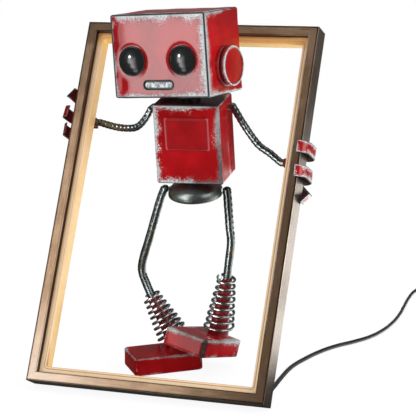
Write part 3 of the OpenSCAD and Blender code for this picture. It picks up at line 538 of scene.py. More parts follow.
# White tape with a yellow chip at each step along it.
def ledTape():
    kit = Finish("ledTape")
    own = kit.ownAxes(slopeSpot)
    x, z = kit.split(own)[::2]
    fine = kit.noise(own, 1.5, 3.0)
    bars = ((x + z) * 0.19).sine().between(0.86, 0.94)
    return kit.paint({
        "Base Color": kit.mix(bars, kit.mix(fine, rgb(0.78, 0.77, 0.72), rgb(0.90, 0.89, 0.84)),
                              rgb(0.90, 0.62, 0.12)),
        "Roughness": fine * 0.2 + 0.4,
        "Emission Color": kit.mix(bars, rgb(0.4, 0.3, 0.16), rgb(1.0, 0.72, 0.35)),
        "Emission Strength": 0.8,
        "Normal": kit.bump(bars + fine * 0.3, 0.2, 0.2),
    })


def blackGloss():
    kit = Finish("blackGloss")
    own = kit.ownAxes(headSpot)
    haze = kit.noise(own, 0.25, 4.0, 0.65)
    return kit.paint({
        "Base Color": kit.mix(haze, rgb(0.006, 0.007, 0.007), rgb(0.016, 0.018, 0.018)),
        "Roughness": haze * 0.12 + 0.34,
        "Specular IOR Level": 0.15,
        "Coat Weight": 1.0,
        "Coat Roughness": 0.07,
        "Normal": kit.bump(kit.noise(own, 0.9, 2.0) + haze, 0.06, 0.2),
    })


def blackPlastic(name, shade, rough, scale):
    kit = Finish(name)
    own = kit.tableAxes()
    grain = kit.noise(own, scale, 3.0, 0.6)
    cloud = kit.noise(own, 0.08, 2.0)
    return kit.paint({
        "Base Color": kit.mix(cloud, rgb(shade * 0.7, shade * 0.7, shade * 0.72),
                              rgb(shade * 1.3, shade * 1.3, shade * 1.33)),
        "Roughness": grain * 0.15 + rough,
        "Normal": kit.bump(grain, 0.3, 0.12),
    })


boxReds = {
    "faceRed": (headSpot, halves["head"], {
        "reach": 9.5, "tone": 1.0, "rim": (1.2, 1.9), "bias": (0.13, 0, 0.06), "gloss": 0.5, "coat": 0.55,
        "rough": 0.11, "paintedShadeAndLevel": (0.0006, 0, 0, 0.08), "fall": (26, 14)}),
    "headRed": (headSpot, halves["head"], {
        "reach": 6.5, "tone": 1.1, "rim": (0.9, 1.4), "bias": (0, -0.22, 0), "paintedShadeAndLevel": (0, 0, 0, 0.06)}),
    "torsoRed": (torsoSpot, halves["torso"], {
        "reach": 9.0, "tone": 1.02, "rim": (0.9, 1.5), "gloss": 0.15, "coat": 0.12, "quietSides": 0.18,
        "grainSize": 0.62, "sharp": 0.5, "paintedShadeAndLevel": (-0.0036, 0, 0.0012, 0.05)}),
    "shoeLeftRed": (shoeLeftSpot, halves["shoe"], {
        "reach": 3.4, "tone": 0.80, "rim": (0.6, 1.1), "gloss": 0.15, "coat": 0.14}),
    "shoeRightRed": (shoeRightSpot, halves["shoe"], {
        "reach": 6.5, "tone": 0.9, "rim": (0.6, 1.1), "gloss": 0.15, "coat": 0.16, "bias": (0.05, 0.0, 0.08),
        "sharp": 0.7}),
}
markReds = {
    "stripRed": {"reach": 2.6, "tone": 0.9, "rim": (0.2, 0.5), "patchSize": 0.11, "paintedShadeAndLevel": (0, 0, 0, 0.12)},
    "plainStripRed": {"reach": 0.8, "tone": 0.75, "rim": (0.1, 0.3), "patchSize": 0.11},
    "discRed": {"reach": 2.3, "tone": 1.25, "rim": (-0.2, 0.15), "patchSize": 0.09, "paintedShadeAndLevel": (0, 0, 0, 0.10)},
    "panelRed": {"reach": 0.6, "tone": 0.95, "rim": (-1, -0.5), "gloss": 0.4, "coat": 0.5, "crestHighlight": 0.75},
}
finishes = {
    "darkRed": darkRedPaint(),
    "bronze": bronzeRail(),
    "ribbedSteel": ribbedSteel(),
    "springSteel": springSteel(),
    "darkSteel": darkSteel("darkSteel", rgb(0.08, 0.10, 0.095), rgb(0.20, 0.225, 0.215), 0.30),
    # nearly black: painted shade on the neck post and its bracket, under the head
    "neckPaintedShade": darkSteel("neckPaintedShade", rgb(0.010, 0.008, 0.007), rgb(0.035, 0.030, 0.028), 0.5),
    "plainSteel": brushedMetal("plainSteel", rgb(0.42, 0.43, 0.44), rgb(0.66, 0.67, 0.68), 0.25),
    "pinSteel": brushedMetal("pinSteel", rgb(0.70, 0.70, 0.70), rgb(0.86, 0.86, 0.86), 0.12),
    "brass": brushedMetal("brass", rgb(0.60, 0.42, 0.16), rgb(0.80, 0.62, 0.30), 0.22, 0.2, 1.0, 0.15),
    "mouthSteel": mouthSteel(),
    "opal": opalDiffuser(),
    "ledTape": ledTape(),
    "blackGloss": blackGloss(),
    "sheath": blackPlastic("sheath", 0.028, 0.24, 0.8),
    "housing": blackPlastic("housing", 0.030, 0.42, 2.2),
    "rockerBlack": blackPlastic("rockerBlack", 0.055, 0.30, 2.6),
}
for name, (spot, half, look) in boxReds.items():
    finishes[name] = wornBox(name, spot, half, look)
for name, look in markReds.items():
    finishes[name] = wornByMark(name, look)
print("finishes made:", len(finishes))


# Puts points, in millimetres, and faces into a new piece that rides on a body and stands for the
# CAD nodes given. Marks are values per point, and edges sharper than the angle stay sharp.
def addPiece(name, points, faces, body, finish, nodes=(), marks=None, sharp=None):
    mesh = bpy.data.meshes.new(name)
    mesh.from_pydata((np.asarray(points) * metre).tolist(), [], faces)
    mesh.polygons.foreach_set("use_smooth", np.ones(len(mesh.polygons), bool))
    if sharp is not None:
        mesh.set_sharp_from_angle(angle=math.radians(sharp))
    for key, values in (marks or {}).items():
        mesh.attributes.new(key, "FLOAT", "POINT").data.foreach_set(
            "value", np.asarray(values, np.float32).ravel())
    mesh.materials.append(finishes[finish])
    mesh.update()
    piece = bpy.data.objects.new(name, mesh)
    bpy.context.scene.collection.objects.link(piece)
    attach(piece, body)
    if nodes:
        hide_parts(*nodes)
    return piece


# Quads between the rows of a grid of n by m points; the second way round may close on itself.
def gridFaces(n, m, closeFirst=False, closeSecond=True, flip=False):
    i = np.arange(n if closeFirst else n - 1)[:, None]
    k = np.arange(m if closeSecond else m - 1)[None, :]
    a, b = i * m + k, i * m + (k + 1) % m
    c, d = ((i + 1) % n) * m + (k + 1) % m, ((i + 1) % n) * m + k
    order = (d, c, b, a) if flip else (a, b, c, d)
    return np.stack([np.broadcast_to(q, a.shape) for q in order], -1).reshape(-1, 4).tolist()


# Rings joined into a wall, with a fan at each end onto the middle of its ring.
def ringPiece(rings, flip=False, caps=True):
    n, m = rings.shape[:2]
    faces = gridFaces(n, m, flip=flip)
    points = rings.reshape(-1, 3)
    if caps:
        k = np.arange(m)
        first, last = n * m, n * m + 1
        low = np.stack([np.full(m, first), (k + 1) % m, k], 1)
        high = np.stack([np.full(m, last), (n - 1) * m + k, (n - 1) * m + (k + 1) % m], 1)
        if flip:
            low, high = low[:, ::-1], high[:, ::-1]
        faces += low.tolist() + high.tolist()
        points = np.vstack([points, rings[0].mean(0), rings[-1].mean(0)])
    return points, faces


# Rings round a line: point + r cos(angle) u + r sin(angle) v, where u is square to the line and
# to the side given, and v to both.
def tubeRings(line, radius, sides, side=(0, 1, 0)):
    t = unit(np.gradient(line, axis=0))
    u = unit(np.cross(np.broadcast_to(side, t.shape), t))
    v = np.cross(t, u)
    angle = np.linspace(0, 2 * np.pi, sides, endpoint=False)
    r = np.broadcast_to(radius, (len(line), sides))[..., None]
    return line[:, None, :] + r * (np.cos(angle)[None, :, None] * u[:, None, :]
                                   + np.sin(angle)[None, :, None] * v[:, None, :])


# A profile of radius and height turned about the piece's own z axis.
def latheRings(profile, sides):
    angle = np.linspace(0, 2 * np.pi, sides, endpoint=False)
    r, h = np.asarray(profile, float).T
    return np.stack([r[:, None] * np.cos(angle), r[:, None] * np.sin(angle),
                     np.broadcast_to(h[:, None], (len(r), sides))], -1)


# Grid lines along one edge of a box: even in the middle, and tan(angle) apart in the corner's arc.
def boxLines(low, high, rLow, rHigh, count, extra=()):
    arc = np.tan(np.radians(np.linspace(45, 0, 5)))
    middle = np.linspace(low + rLow, high - rHigh, count)
    lines = np.concatenate([low + rLow - rLow * arc[:-1], middle, high - rHigh + rHigh * arc[-2::-1]])
    return np.unique(np.round(np.concatenate([lines, np.asarray(extra, float)]), 5))


# A box with rolled edges. A point q of the sharp box goes to inner + r * unit((q - inner) / r),
# where inner is q held inside the box that is smaller by the radii.
def rolledBox(low, high, rLow, rHigh, counts, extra=((), (), ())):
    low, high, rLow, rHigh = (np.array(v, float) for v in (low, high, rLow, rHigh))
    lines = [boxLines(low[a], high[a], rLow[a], rHigh[a], counts[a], extra[a]) for a in range(3)]
    allPoints, allFaces, start = [], [], 0
    for a in range(3):
        b, c = (a + 1) % 3, (a + 2) % 3
        for end in (low[a], high[a]):
            q = np.zeros((len(lines[b]), len(lines[c]), 3))
            q[..., a] = end
            q[..., b] = lines[b][:, None]
            q[..., c] = lines[c][None, :]
            faces = np.array(gridFaces(q.shape[0], q.shape[1], closeSecond=False, flip=end == high[a]))
            allPoints.append(q.reshape(-1, 3))
            allFaces.append(faces + start)
            start += q.shape[0] * q.shape[1]
    q = np.vstack(allPoints)
    kept, which = np.unique(np.round(q, 4), axis=0, return_inverse=True)
    faces = which.reshape(-1)[np.vstack(allFaces)]
    inner = np.clip(kept, low + rLow, high - rHigh)
    r = np.where(kept < (low + high) / 2, rLow, rHigh)
    away = unit((kept - inner) / r)
    return inner + r * away, faces.tolist(), away


# Low, uneven swellings of hand-beaten sheet: a few waves across each other.
def beaten(points, depth, length, shift=0.0):
    x, y, z = (points / length).T
    return depth * (np.sin(1.9 * x + 1.3 * z + shift) * np.cos(1.1 * z - 0.8 * x + 2.1 * shift)
                    + 0.5 * np.sin(2.7 * z + 1.7 * y - x + 3 + shift))


def smoothStep(values, low, high):
    t = np.clip((values - low) / (high - low), 0, 1)
    return t * t * (3 - 2 * t)


lead = {
    "diameter": 4.6,
    "gland": {"x": 127.75, "s": 20, "up": 2.6, "turn": 28},
    "coil": {"x": placeX + 182, "y": placeY + 507, "middle": 25, "low": 3.75, "layer": 4.72, "side": 2.36},
    "switch": (placeX + 242, placeY + 468),
    "plugEnd": placeY + 404,
    "plugZ": 13,
}

leadR = lead["diameter"] / 2
gland = lead["gland"]
glandDir = np.array([-math.sin(math.radians(gland["turn"])), math.cos(math.radians(gland["turn"])), 0])
glandBase = np.array([gland["x"], frameDepth + gland["up"], gland["s"]])
glandLine = onSlope(glandBase + np.array([[12.0], [16.0], [20.0]]) * glandDir)  # its last stretch

leadRun = np.array([
    (114.5, 37, 4.8), (114.5, 48, 2.4), (114, 61, 2.4), (112, 79, 2.4), (110, 100, 2.4),
    (108.5, 121, 2.4), (109, 140, 2.4), (112, 160, 2.4), (118, 188, 2.4), (129, 217, 2.4),
    (145, 243, 2.4), (155, 264, 2.4), (161, 291, 2.4), (163, 326, 2.4), (161, 361, 2.4),
    (156, 398, 2.4), (151, 435, 2.4), (149, 468, 2.4),
]) + np.array([placeX, placeY, 0])


# The coil's turns: the angle runs on clockwise, and the column and the layer change in turn, each
# over its own short stretch, so that no two strands meet.
def coilLine(coil, turns=7.208, perTurn=24):
    angle = np.linspace(0, turns * 360, int(turns * perTurn) + 1)
    column = np.interp(angle, [0, 270, 335, 1580, 1643, 9999], [1, 1, -1, -1, 1, 1])
    layer = np.interp(angle, [0, 565, 628, 925, 988, 1285, 1348, 1877, 1938, 2237, 2298, 9999],
                      [0, 0, 1, 1, 2, 2, 3, 3, 2, 2, 1, 1])
    r = coil["middle"] + coil["side"] * column
    a = np.radians(180 - angle)
    return np.stack([coil["x"] + r * np.cos(a), coil["y"] + r * np.sin(a),
                     coil["low"] + coil["layer"] * layer], 1)


coil = lead["coil"]
outerTurn = coil["middle"] + coil["side"]
comeIn = np.array([(coil["x"] - outerTurn - 1.6, coil["y"] - 18, 3.0)])
switchX, switchY = lead["switch"]
goOut = np.array([
    (1, 28.2, 8.47), (9, 29.2, 8.3), (17, 29.3, 7.1), (25, 28.2, 5.0), (33, 25.8, 3.7), (40.5, 22.3, 3.1),
    (47, 17.6, 3.2), (52.5, 11.6, 4.1), (56.6, 5, 5.3), (59, -2.5, 6.4),
]) + np.array([coil["x"], coil["y"], 0])
plugY, plugZ = lead["plugEnd"], lead["plugZ"]
toPlug = np.array([
    (switchX, switchY + 31, 6.9), (switchX, switchY + 23, 7), (switchX, switchY, 7),
    (switchX, switchY - 16, 7), (switchX, switchY - 23, 7.1), (switchX, switchY - 28.8, 7.8),
    (switchX, switchY - 34.5, 10), (switchX, plugY + 23.7, 12.2), (switchX, plugY + 18, plugZ),
    (switchX, plugY + 10, plugZ), (switchX, plugY - 3.5, plugZ),
])
leadPoints = np.vstack([glandLine, leadRun, comeIn, coilLine(coil), goOut, toPlug])

curve = bpy.data.curves.new("leadSheath", "CURVE")
curve.dimensions = "3D"
curve.bevel_depth = leadR * metre
curve.bevel_resolution = 5
curve.resolution_u = 5
curve.use_fill_caps = True
spline = curve.splines.new("BEZIER")
spline.bezier_points.add(len(leadPoints) - 1)
spline.bezier_points.foreach_set("co", (leadPoints * metre).ravel())
for point in spline.bezier_points:
    point.handle_left_type = point.handle_right_type = "AUTO"
curve.materials.append(finishes["sheath"])
leadPiece = bpy.data.objects.new("leadSheath", curve)
bpy.context.scene.collection.objects.link(leadPiece)
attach(leadPiece, "body")
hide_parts("lead", "lead_coil", "lead_tail")


stageLook = {"front": -0.42, "back": 3.2, "side": 2.2, "shown": 0.86, "dim": 0.04}
# bright spots of the floor that only what shines sees: x, y, inner and outer radius, radiance
floorSpots = [(400, 550, 400, 620, 2.9), (-95, -285, 50, 130, 2.2)]


# White to the eye but for a share of its own shading, which keeps the shadow. What shines sees a
# dim floor with bright spots behind the lamp's right side, where a window stands, and in front.
def paleFloor():
    kit = Finish("paleFloor")
    camera, through, mirrored = kit.rays("Camera", "Transmission", "Glossy")
    own = kit.tableAxes()
    x, y = kit.split(own)[:2]
    grain = kit.noise(own, 0.004, 2.0)
    bright = stageLook["dim"]
    for px, py, inner, outer, level in floorSpots:
        away = ((x - px) * (x - px) + (y - py) * (y - py)) ** 0.5
        bright = away.between(outer, inner) * level + bright
    patch = kit.node("ShaderNodeCombineColor", {}, {0: bright, 1: bright, 2: bright * 0.98})
    glow = kit.node("ShaderNodeEmission", {}, {
        "Color": kit.mix(mirrored, rgb(1.06, 1.06, 1.06), patch), "Strength": 1.0})
    base = kit.paint({
        "Base Color": kit.mix(grain, rgb(0.80, 0.80, 0.80), rgb(0.84, 0.84, 0.84)),
        "Roughness": 0.9,
        "Specular IOR Level": 0.0,
    })
    flat = camera.most(through) * stageLook["shown"] + mirrored
    both = kit.node("ShaderNodeMixShader", {}, {0: flat, 1: Wire(kit, kit.shader.outputs[0]), 2: glow})
    kit.join(both, kit.tree.nodes["Material Output"].inputs[0])
    return base


floorMesh = bpy.data.meshes.new("floor")
side, front, back = (stageLook[key] for key in ("side", "front", "back"))
floorMesh.from_pydata([(-side, front, 0), (side, front, 0), (side, back, 0), (-side, back, 0)],
                      [], [(0, 1, 2, 3)])
floorMesh.materials.append(paleFloor())
floor = bpy.data.objects.new("floor", floorMesh)
bpy.context.scene.collection.objects.link(floor)

# White for the eye. What shines sees a wall behind, a little lighter than the dark room in front, and
# what is dull is lit by a grey sky.
sky = {"eye": 1.0, "dull": 0.72, "front": 0.03, "behind": 0.14, "from": 0.55, "to": 0.95}
world = bpy.data.worlds.new("studio")
bpy.context.scene.world = world
world.use_nodes = True
kit = NodeKit(world.node_tree)
camera, through, mirrored = kit.rays("Camera", "Transmission", "Glossy")
heading = kit.split(kit.node("ShaderNodeTexCoord", out="Generated"))[1]
room = kit.node("ShaderNodeMapRange", {"interpolation_type": "SMOOTHSTEP"}, {
    0: heading, 1: sky["from"], 2: sky["to"], 3: sky["front"], 4: sky["behind"]})
unseen = kit.node("ShaderNodeMix", {"data_type": "FLOAT"}, {
    0: mirrored.most(through), 2: sky["dull"], 3: room})
shown = kit.node("ShaderNodeMix", {"data_type": "FLOAT"}, {0: camera, 2: unseen, 3: sky["eye"]})
kit.join(shown, kit.tree.nodes["Background"].inputs["Color"])

rodPieces = ["legLeft", "legRight", "armLeft", "armRight"]
springPieces = ["springLeft", "springRight", "springCurl"]
eyePieces = ["eyeLeft", "eyeRight"]
railPieces = ["railLeft", "railRight", "railTop", "railBottom"]
# Azimuth in degrees from straight in front towards the right, and lengths in metres. A lamp with "on"
# reaches only those pieces, and only by what shines.
lamps = {
    "leftPanel": {"azimuth": -38.5, "height": 0.36, "away": 1.35, "size": (0.42, 0.62), "radiance": 4.0},
    "dotRound": {"azimuth": -38.6, "height": 0.80, "away": 1.35, "size": (0.32, 0.32), "radiance": 45,
                 "on": eyePieces},
    "eyeBandWide": {"azimuth": -20, "height": 0.14, "away": 0.50, "size": (0.36, 0.86), "radiance": 1.1,
                    "on": eyePieces},
    "eyeBandMiddle": {"azimuth": -21, "height": 0.14, "away": 0.50, "size": (0.25, 0.70), "radiance": 1.2,
                      "on": eyePieces},
    "eyeBandNarrow": {"azimuth": -23, "height": 0.13, "away": 0.50, "size": (0.15, 0.52), "radiance": 2.4,
                      "on": eyePieces},
    "rodPanel": {"azimuth": -9, "height": 0.06, "away": 0.42, "size": (0.15, 0.40), "radiance": 10.0,
                 "on": rodPieces + springPieces},
    "bowlPanel": {"azimuth": -20, "height": 0.34, "away": 0.42, "size": (0.16, 0.58), "radiance": 5.5,
                  "on": ["pelvisBowl"]},
    "bowlRightPanel": {"azimuth": 89, "height": 0.32, "away": 0.42, "size": (0.12, 0.42), "radiance": 4.5,
                       "on": ["pelvisBowl"]},
    "springRound": {"azimuth": -38.6, "height": 0.80, "away": 1.35, "size": (0.42, 0.42), "radiance": 24,
                    "on": springPieces + ["armLeft", "armRight"]},
    "rightLow": {"azimuth": 89, "height": 0.10, "away": 0.50, "size": (0.20, 0.26), "radiance": 1.8,
                 "on": rodPieces + springPieces},
    "railPanel": {"azimuth": -35.5, "height": 0.80, "away": 1.30, "size": (0.38, 0.95), "radiance": 3.3,
                  "on": railPieces},
    "topRailPanel": {"azimuth": -27, "height": 1.75, "away": 1.30, "size": (0.30, 0.30), "radiance": 2.2,
                     "on": railPieces},
    "rightPanel": {"azimuth": 68, "height": 0.75, "away": 1.5, "size": (0.9, 1.0), "radiance": 3.0},
    "topPanel": {"azimuth": 150, "height": 1.7, "away": 0.5, "size": (1.2, 0.9), "radiance": 1.2},
}
aimAt = (0.0, 0.0, 0.24)


# An area lamp that faces the point aimAt; its radiance gives its power: pi * area * radiance.
def addLamp(name, look):
    data = bpy.data.lights.new(name, "AREA")
    isRound = "Round" in name
    data.shape = "ELLIPSE" if isRound else "RECTANGLE"
    data.size, data.size_y = look["size"]
    area = data.size * data.size_y * (math.pi / 4 if isRound else 1)
    data.energy = look["radiance"] * math.pi * area
    lampObject = bpy.data.objects.new(name, data)
    a = math.radians(look["azimuth"])
    place = np.array([math.sin(a) * look["away"], -math.cos(a) * look["away"], look["height"]])
    back = unit(place - np.array(aimAt))
    across = unit(np.cross([0, 0, 1.0], back))
    lampObject.matrix_world = poseMatrix(across, np.cross(back, across), back, place)
    lampObject.visible_camera = False
    if "on" in look:
        lampObject.visible_diffuse = False
        lampObject.light_linking.receiver_collection = bpy.data.collections.new(name + "Reaches")
    bpy.context.scene.collection.objects.link(lampObject)


for lampName, look in lamps.items():
    addLamp(lampName, look)
print("stage and lamps set")


rails = {"width": 266, "height": 400, "face": 10.5, "sheet": 1.6, "lip": 7, "bevel": 0.8, "roll": 0.7,
         "step": 0.7}


# The rail's closed outline, as inset from the outer edge and depth from the face, cut into even
# short steps. Each point also gets how rubbed it is, highest on the corners that show, which is also
# a painted highlight there, on the bevel as bright as the rail's bevel value; and painted shade: along
# the outer border of the face, in the opening and, where the bevel is dull, beside it.
def railOutline(r, bevel):
    f, t, lip, b, roll = r["face"], r["sheet"], r["lip"], r["bevel"], r["roll"]
    q = np.radians(np.linspace(0, 90, 5))
    cornerFront = np.stack([roll - roll * np.sin(q), roll - roll * np.cos(q)], 1)
    cornerBack = np.stack([roll - roll * np.cos(q), frameDepth - roll + roll * np.sin(q)], 1)
    corners = np.vstack([
        [[f - b, 0]], cornerFront, cornerBack,
        [[f, frameDepth], [f, frameDepth - t], [t, frameDepth - t], [t, t], [f - t, t],
         [f - t, lip], [f, lip], [f, b]],
    ])
    closed = np.vstack([corners, corners[:1]])
    run = np.concatenate([[0], np.cumsum(np.linalg.norm(np.diff(closed, axis=0), axis=1))])
    s = np.unique(np.round(np.concatenate([run[:-1], np.arange(0, run[-1], r["step"])]), 4))
    outline = np.stack([np.interp(s, run, closed[:, 0]), np.interp(s, run, closed[:, 1])], 1)
    inset, depth = outline.T
    toBevel = np.hypot(inset - (f - b / 2), depth - b / 2)
    toBack = np.hypot(inset, depth - frameDepth)
    toEdgeLine = np.hypot(inset, depth - 0.9)
    # rubbed edges that are also painted highlights; the bevel's share follows the rail's bevel value
    rubAndHighlight = np.maximum.reduce([1.15 * bevel * smoothStep(toBevel, 1.4, 0.5),
                             0.85 * smoothStep(toEdgeLine, 0.9, 0.4), 0.7 * smoothStep(toBack, 1.2, 0.3)])
    onFace = smoothStep(depth, 0.5, 0.15) * smoothStep(inset, 0.35, 0.7)
    wall = smoothStep(depth, 0.9, 1.5) * smoothStep(inset, f - 1, f - 0.3)
    paintedShade = np.maximum.reduce([0.92 * onFace * smoothStep(inset, 2.3, 1.3), 0.95 * wall,
                              0.75 * (1 - bevel) * onFace * smoothStep(inset, f - 1.5, f - 0.9)])
    return outline, s, rubAndHighlight, paintedShade


# The outline carried along a rail. Both ends are cut at 45 degrees, so a point starts at its own
# inset and ends at the length less its inset: place = corner + along * s + inward * inset.
def addRail(name, corner, along, inward, length, bevel):
    outline, arc, rubAndHighlight, paintedShade = railOutline(rails, bevel)
    inset, depth = outline.T
    share = np.linspace(0, 1, 61)[:, None]
    s = inset + share * (length - 2 * inset)
    wave = 0.05 * np.sin(s / 17.0) * np.cos(s / 7.3 + depth)
    corner, along, inward = (np.array(v, float) for v in (corner, along, inward))
    flat = corner + along * s[..., None] + inward * (inset + wave)[..., None]
    local = np.stack([flat[..., 0], np.broadcast_to(depth, s.shape), flat[..., 1]], -1)
    turned = along[0] * inward[1] - along[1] * inward[0] > 0
    points, faces = ringPiece(onSlope(local.reshape(-1, 3)).reshape(local.shape), flip=not turned, caps=False)
    m = len(inset)
    first, last = list(range(m)), list(range((len(share) - 1) * m, len(share) * m))
    faces += [first[::-1], last] if turned else [first, last[::-1]]
    nearEnd = smoothStep(np.minimum(s - inset, length - inset - s), 0.9, 0.0)
    marks = {"run": s + 400 * inward[0] + 900 * inward[1], "round": np.broadcast_to(arc, s.shape),
             "rubAndHighlight": np.maximum(rubAndHighlight * (0.35 + 0.65 * smoothStep(s, 40, 150)), 0.3 * nearEnd),
             "paintedShade": np.broadcast_to(paintedShade, s.shape),
             "outer": np.broadcast_to(smoothStep(inset, 0.5, 0.1) * (depth > 0.6), s.shape)}
    pieceName = "rail" + name.split("_")[1].capitalize()
    addPiece(pieceName, points, faces, "body", "bronze", (name,), marks, sharp=35)


# name, corner, direction along, direction inward, length, and how bright its bevel is rubbed, a painted
# highlight
halfW, fullH = rails["width"] / 2, rails["height"]
for railName, corner, along, inward, length, bevel in [
        ("rail_left", (-halfW, 0), (0, 1), (1, 0), fullH, 0.25),
        ("rail_right", (halfW, 0), (0, 1), (-1, 0), fullH, 1.0),
        ("rail_bottom", (-halfW, 0), (1, 0), (0, 1), rails["width"], 0.1),
        ("rail_top", (-halfW, fullH), (1, 0), (0, -1), rails["width"], 0.3)]:
    addRail(railName, corner, along, inward, length, bevel)

diffuser = {
    "groove": 15.0, "outer": 5.4, "inner": 17.5, "front": 7.1, "back": 21.3, "corner": 1.6, "roll": 1.1,
}


# The ring's section carried round the frame. Its corner arcs share the corners' centres, so a point
# with inset e lies on an arc of radius (corner + inner - e): place = centre + radius * direction.
# The face has a groove. The line mark is painted shade: a dark line in the groove, more on the right
# and below, where the inner edge is darkened too, and on the face under the rails' lip elsewhere.
def addDiffuser(d):
    q = np.radians(np.linspace(0, 90, 6))
    e0, e1, f, b, roll = d["outer"], d["inner"], d["front"], d["back"], d["roll"]
    front = np.stack([e1 - roll + roll * np.sin(q), f + roll - roll * np.cos(q)], 1)
    back = np.stack([e1 - roll + roll * np.cos(q), b - roll + roll * np.sin(q)], 1)
    flat = np.concatenate([[e0, 10.6, 11.4, 12.4, 13.4], np.arange(14, 16.1, 0.2)])
    dip = 0.3 * np.exp(-((flat - d["groove"]) / 0.4) ** 2)
    section = np.vstack([np.stack([flat, f + dip], 1), front,
                         [[e1, f + 5], [e1, (f + b) / 2], [e1, b - 5]], back, [[e0, b]]])
    inset, depth = section.T
    reach = d["corner"] + d["inner"]
    cx, cz = halfW - reach, fullH / 2 - reach
    arc = np.radians(np.linspace(0, 90, 9))
    share = np.linspace(0, 1, 14)[1:-1, None]
    corners = np.array([(1, 1), (-1, 1), (-1, -1), (1, -1)]) * [cx, cz]
    angles, centres = [], []
    for k, corner in enumerate(corners):
        angles += [arc + k * np.pi / 2, np.full(len(share), (k + 1) * np.pi / 2)]
        centres += [np.tile(corner, (len(arc), 1)), corner * (1 - share) + corners[(k + 1) % 4] * share]
    angle, centre = np.concatenate(angles), np.vstack(centres)
    out = reach - inset
    x = centre[:, 0, None] + np.cos(angle)[:, None] * out
    z = centre[:, 1, None] + np.sin(angle)[:, None] * out + fullH / 2
    rings = np.stack([x, np.broadcast_to(depth, x.shape), z], -1)
    faces = gridFaces(*x.shape, closeFirst=True)
    inward = smoothStep(inset, e1 - roll * 0.9, e1 - 0.1) * smoothStep(depth, f + 0.1, f + roll)
    inward = np.broadcast_to(inward, x.shape)
    onFace = depth < f + 0.5
    rightLow = np.maximum(smoothStep(x, halfW - 30, halfW - 20), smoothStep(z, 30, 20))
    line = (0.3 + 0.7 * rightLow) * onFace * np.exp(-((inset - d["groove"]) / 0.42) ** 2)
    lip = smoothStep(inset, e1 - 0.75, e1 - 0.2) * smoothStep(depth, f + 2.5, f + 0.6)
    underRail = 0.65 * onFace * smoothStep(inset, 13.0, 10.6)
    line = np.maximum.reduce([line, rightLow * lip, (1 - rightLow) * underRail])
    addPiece("diffuserRing", onSlope(rings.reshape(-1, 3)), faces, "body", "opal",
             ("diffuser",), {"inward": inward, "line": line}, sharp=50)


addDiffuser(diffuser)
print("frame made")


head = {
    "half": halves["head"], "sheet": 1.6, "faceShift": -2.5,
    "eye": {"x": 29.8, "z": -4.8, "r": 15.5, "rise": 6.5},
    "mouth": {"z": -29.6, "width": 36, "height": 9.4, "deep": 1.35},
    "ear": {"y": 1.5, "z": -14.5, "r": 21},
    "fallBack": {"left": (1.25, 20), "right": (0.25, 10)},  # depth, and width from the border
    "dent": {"x": -47, "z": -29, "wide": 6, "high": 9, "deep": 0.45},
    "eyeHollow": {"wide": 2.6, "deep": 0.55},
}


# How far a point is inside a slot with round ends: half the height less its distance to the slot's
# middle line. Positive inside.
def slotDepth(x, z, width, height):
    beyond = np.maximum(np.abs(x) - (width - height) / 2, 0)
    return height / 2 - np.hypot(beyond, z)


# The front plate. Its front sinks into the slot behind the mouth, falls back towards both borders as
# depth * (1 - gap / width)^2, and has a dent low on the left and a hollow round each eye.
def addFacePlate(h):
    hx, hy, hz = h["half"]
    mouth, eye, dent, hollow = h["mouth"], h["eye"], h["dent"], h["eyeHollow"]
    fineX = h["faceShift"] + np.concatenate([
        np.arange(-19, -13, 0.24), np.arange(-13, 13, 0.9), np.arange(13, 19.01, 0.24)])
    fineZ = mouth["z"] + np.arange(-5.6, 5.61, 0.24)
    points, faces, away = rolledBox((-hx, -hy, -hz), (hx, -hy + h["sheet"], hz),
                                    (2.6, 1.35, 2.6), (2.6, 0.2, 2.6), (74, 2, 58), (fineX, (), fineZ))
    x, y, z = points.T
    front = smoothStep(-y, hy - 0.8, hy - 0.1)
    inside = slotDepth(x - h["faceShift"], z - mouth["z"], mouth["width"], mouth["height"])
    sunk = mouth["deep"] * smoothStep(inside, -0.25, 0.45)
    for gap, (deep, wide) in [(x + hx, h["fallBack"]["left"]), (hx - x, h["fallBack"]["right"])]:
        sunk = sunk + deep * np.maximum(0, 1 - gap / wide) ** 2
    across, up = (x - dent["x"]) / dent["wide"], (z - dent["z"]) / dent["high"]
    sunk = sunk + dent["deep"] * np.exp(-(across**2 + up**2))
    for side in (-1, 1):
        r = np.hypot(x - h["faceShift"] - side * eye["x"], z - eye["z"])
        sunk = sunk + hollow["deep"] * np.exp(-((r - eye["r"]) / hollow["wide"]) ** 2)
    points = points + np.stack([0 * x, front * sunk, 0 * z], 1)
    points += away * (beaten(points, 0.13, 15.0, 0.7) * front * smoothStep(-inside, -0.5, 3))[:, None]
    # painted shade on the slope down into the mouth's slot
    paintedShade = smoothStep(inside, -1.2, -0.2) * front
    addPiece("facePlate", placed(points, headSpot), faces, "head", "faceRed", ("face_plate",),
             {"paintedShade": paintedShade}, sharp=60)


# The box behind the front plate, with swellings that fade where its faces meet.
def addHeadShell(h):
    hx, hy, hz = h["half"]
    points, faces, away = rolledBox((-hx, -hy + h["sheet"], -hz), (hx, hy, hz),
                                    (2.6, 0.2, 2.6), (2.6, 2.6, 2.6), (40, 28, 32))
    inner = smoothStep(hx + hz + hy - np.abs(points).sum(1), 2, 14)
    points = points + away * (beaten(points, 0.20, 13.0, 2.1) * inner)[:, None]
    addPiece("headShell", placed(points, headSpot), faces, "head", "headRed", ("head_shell",),
             sharp=60)


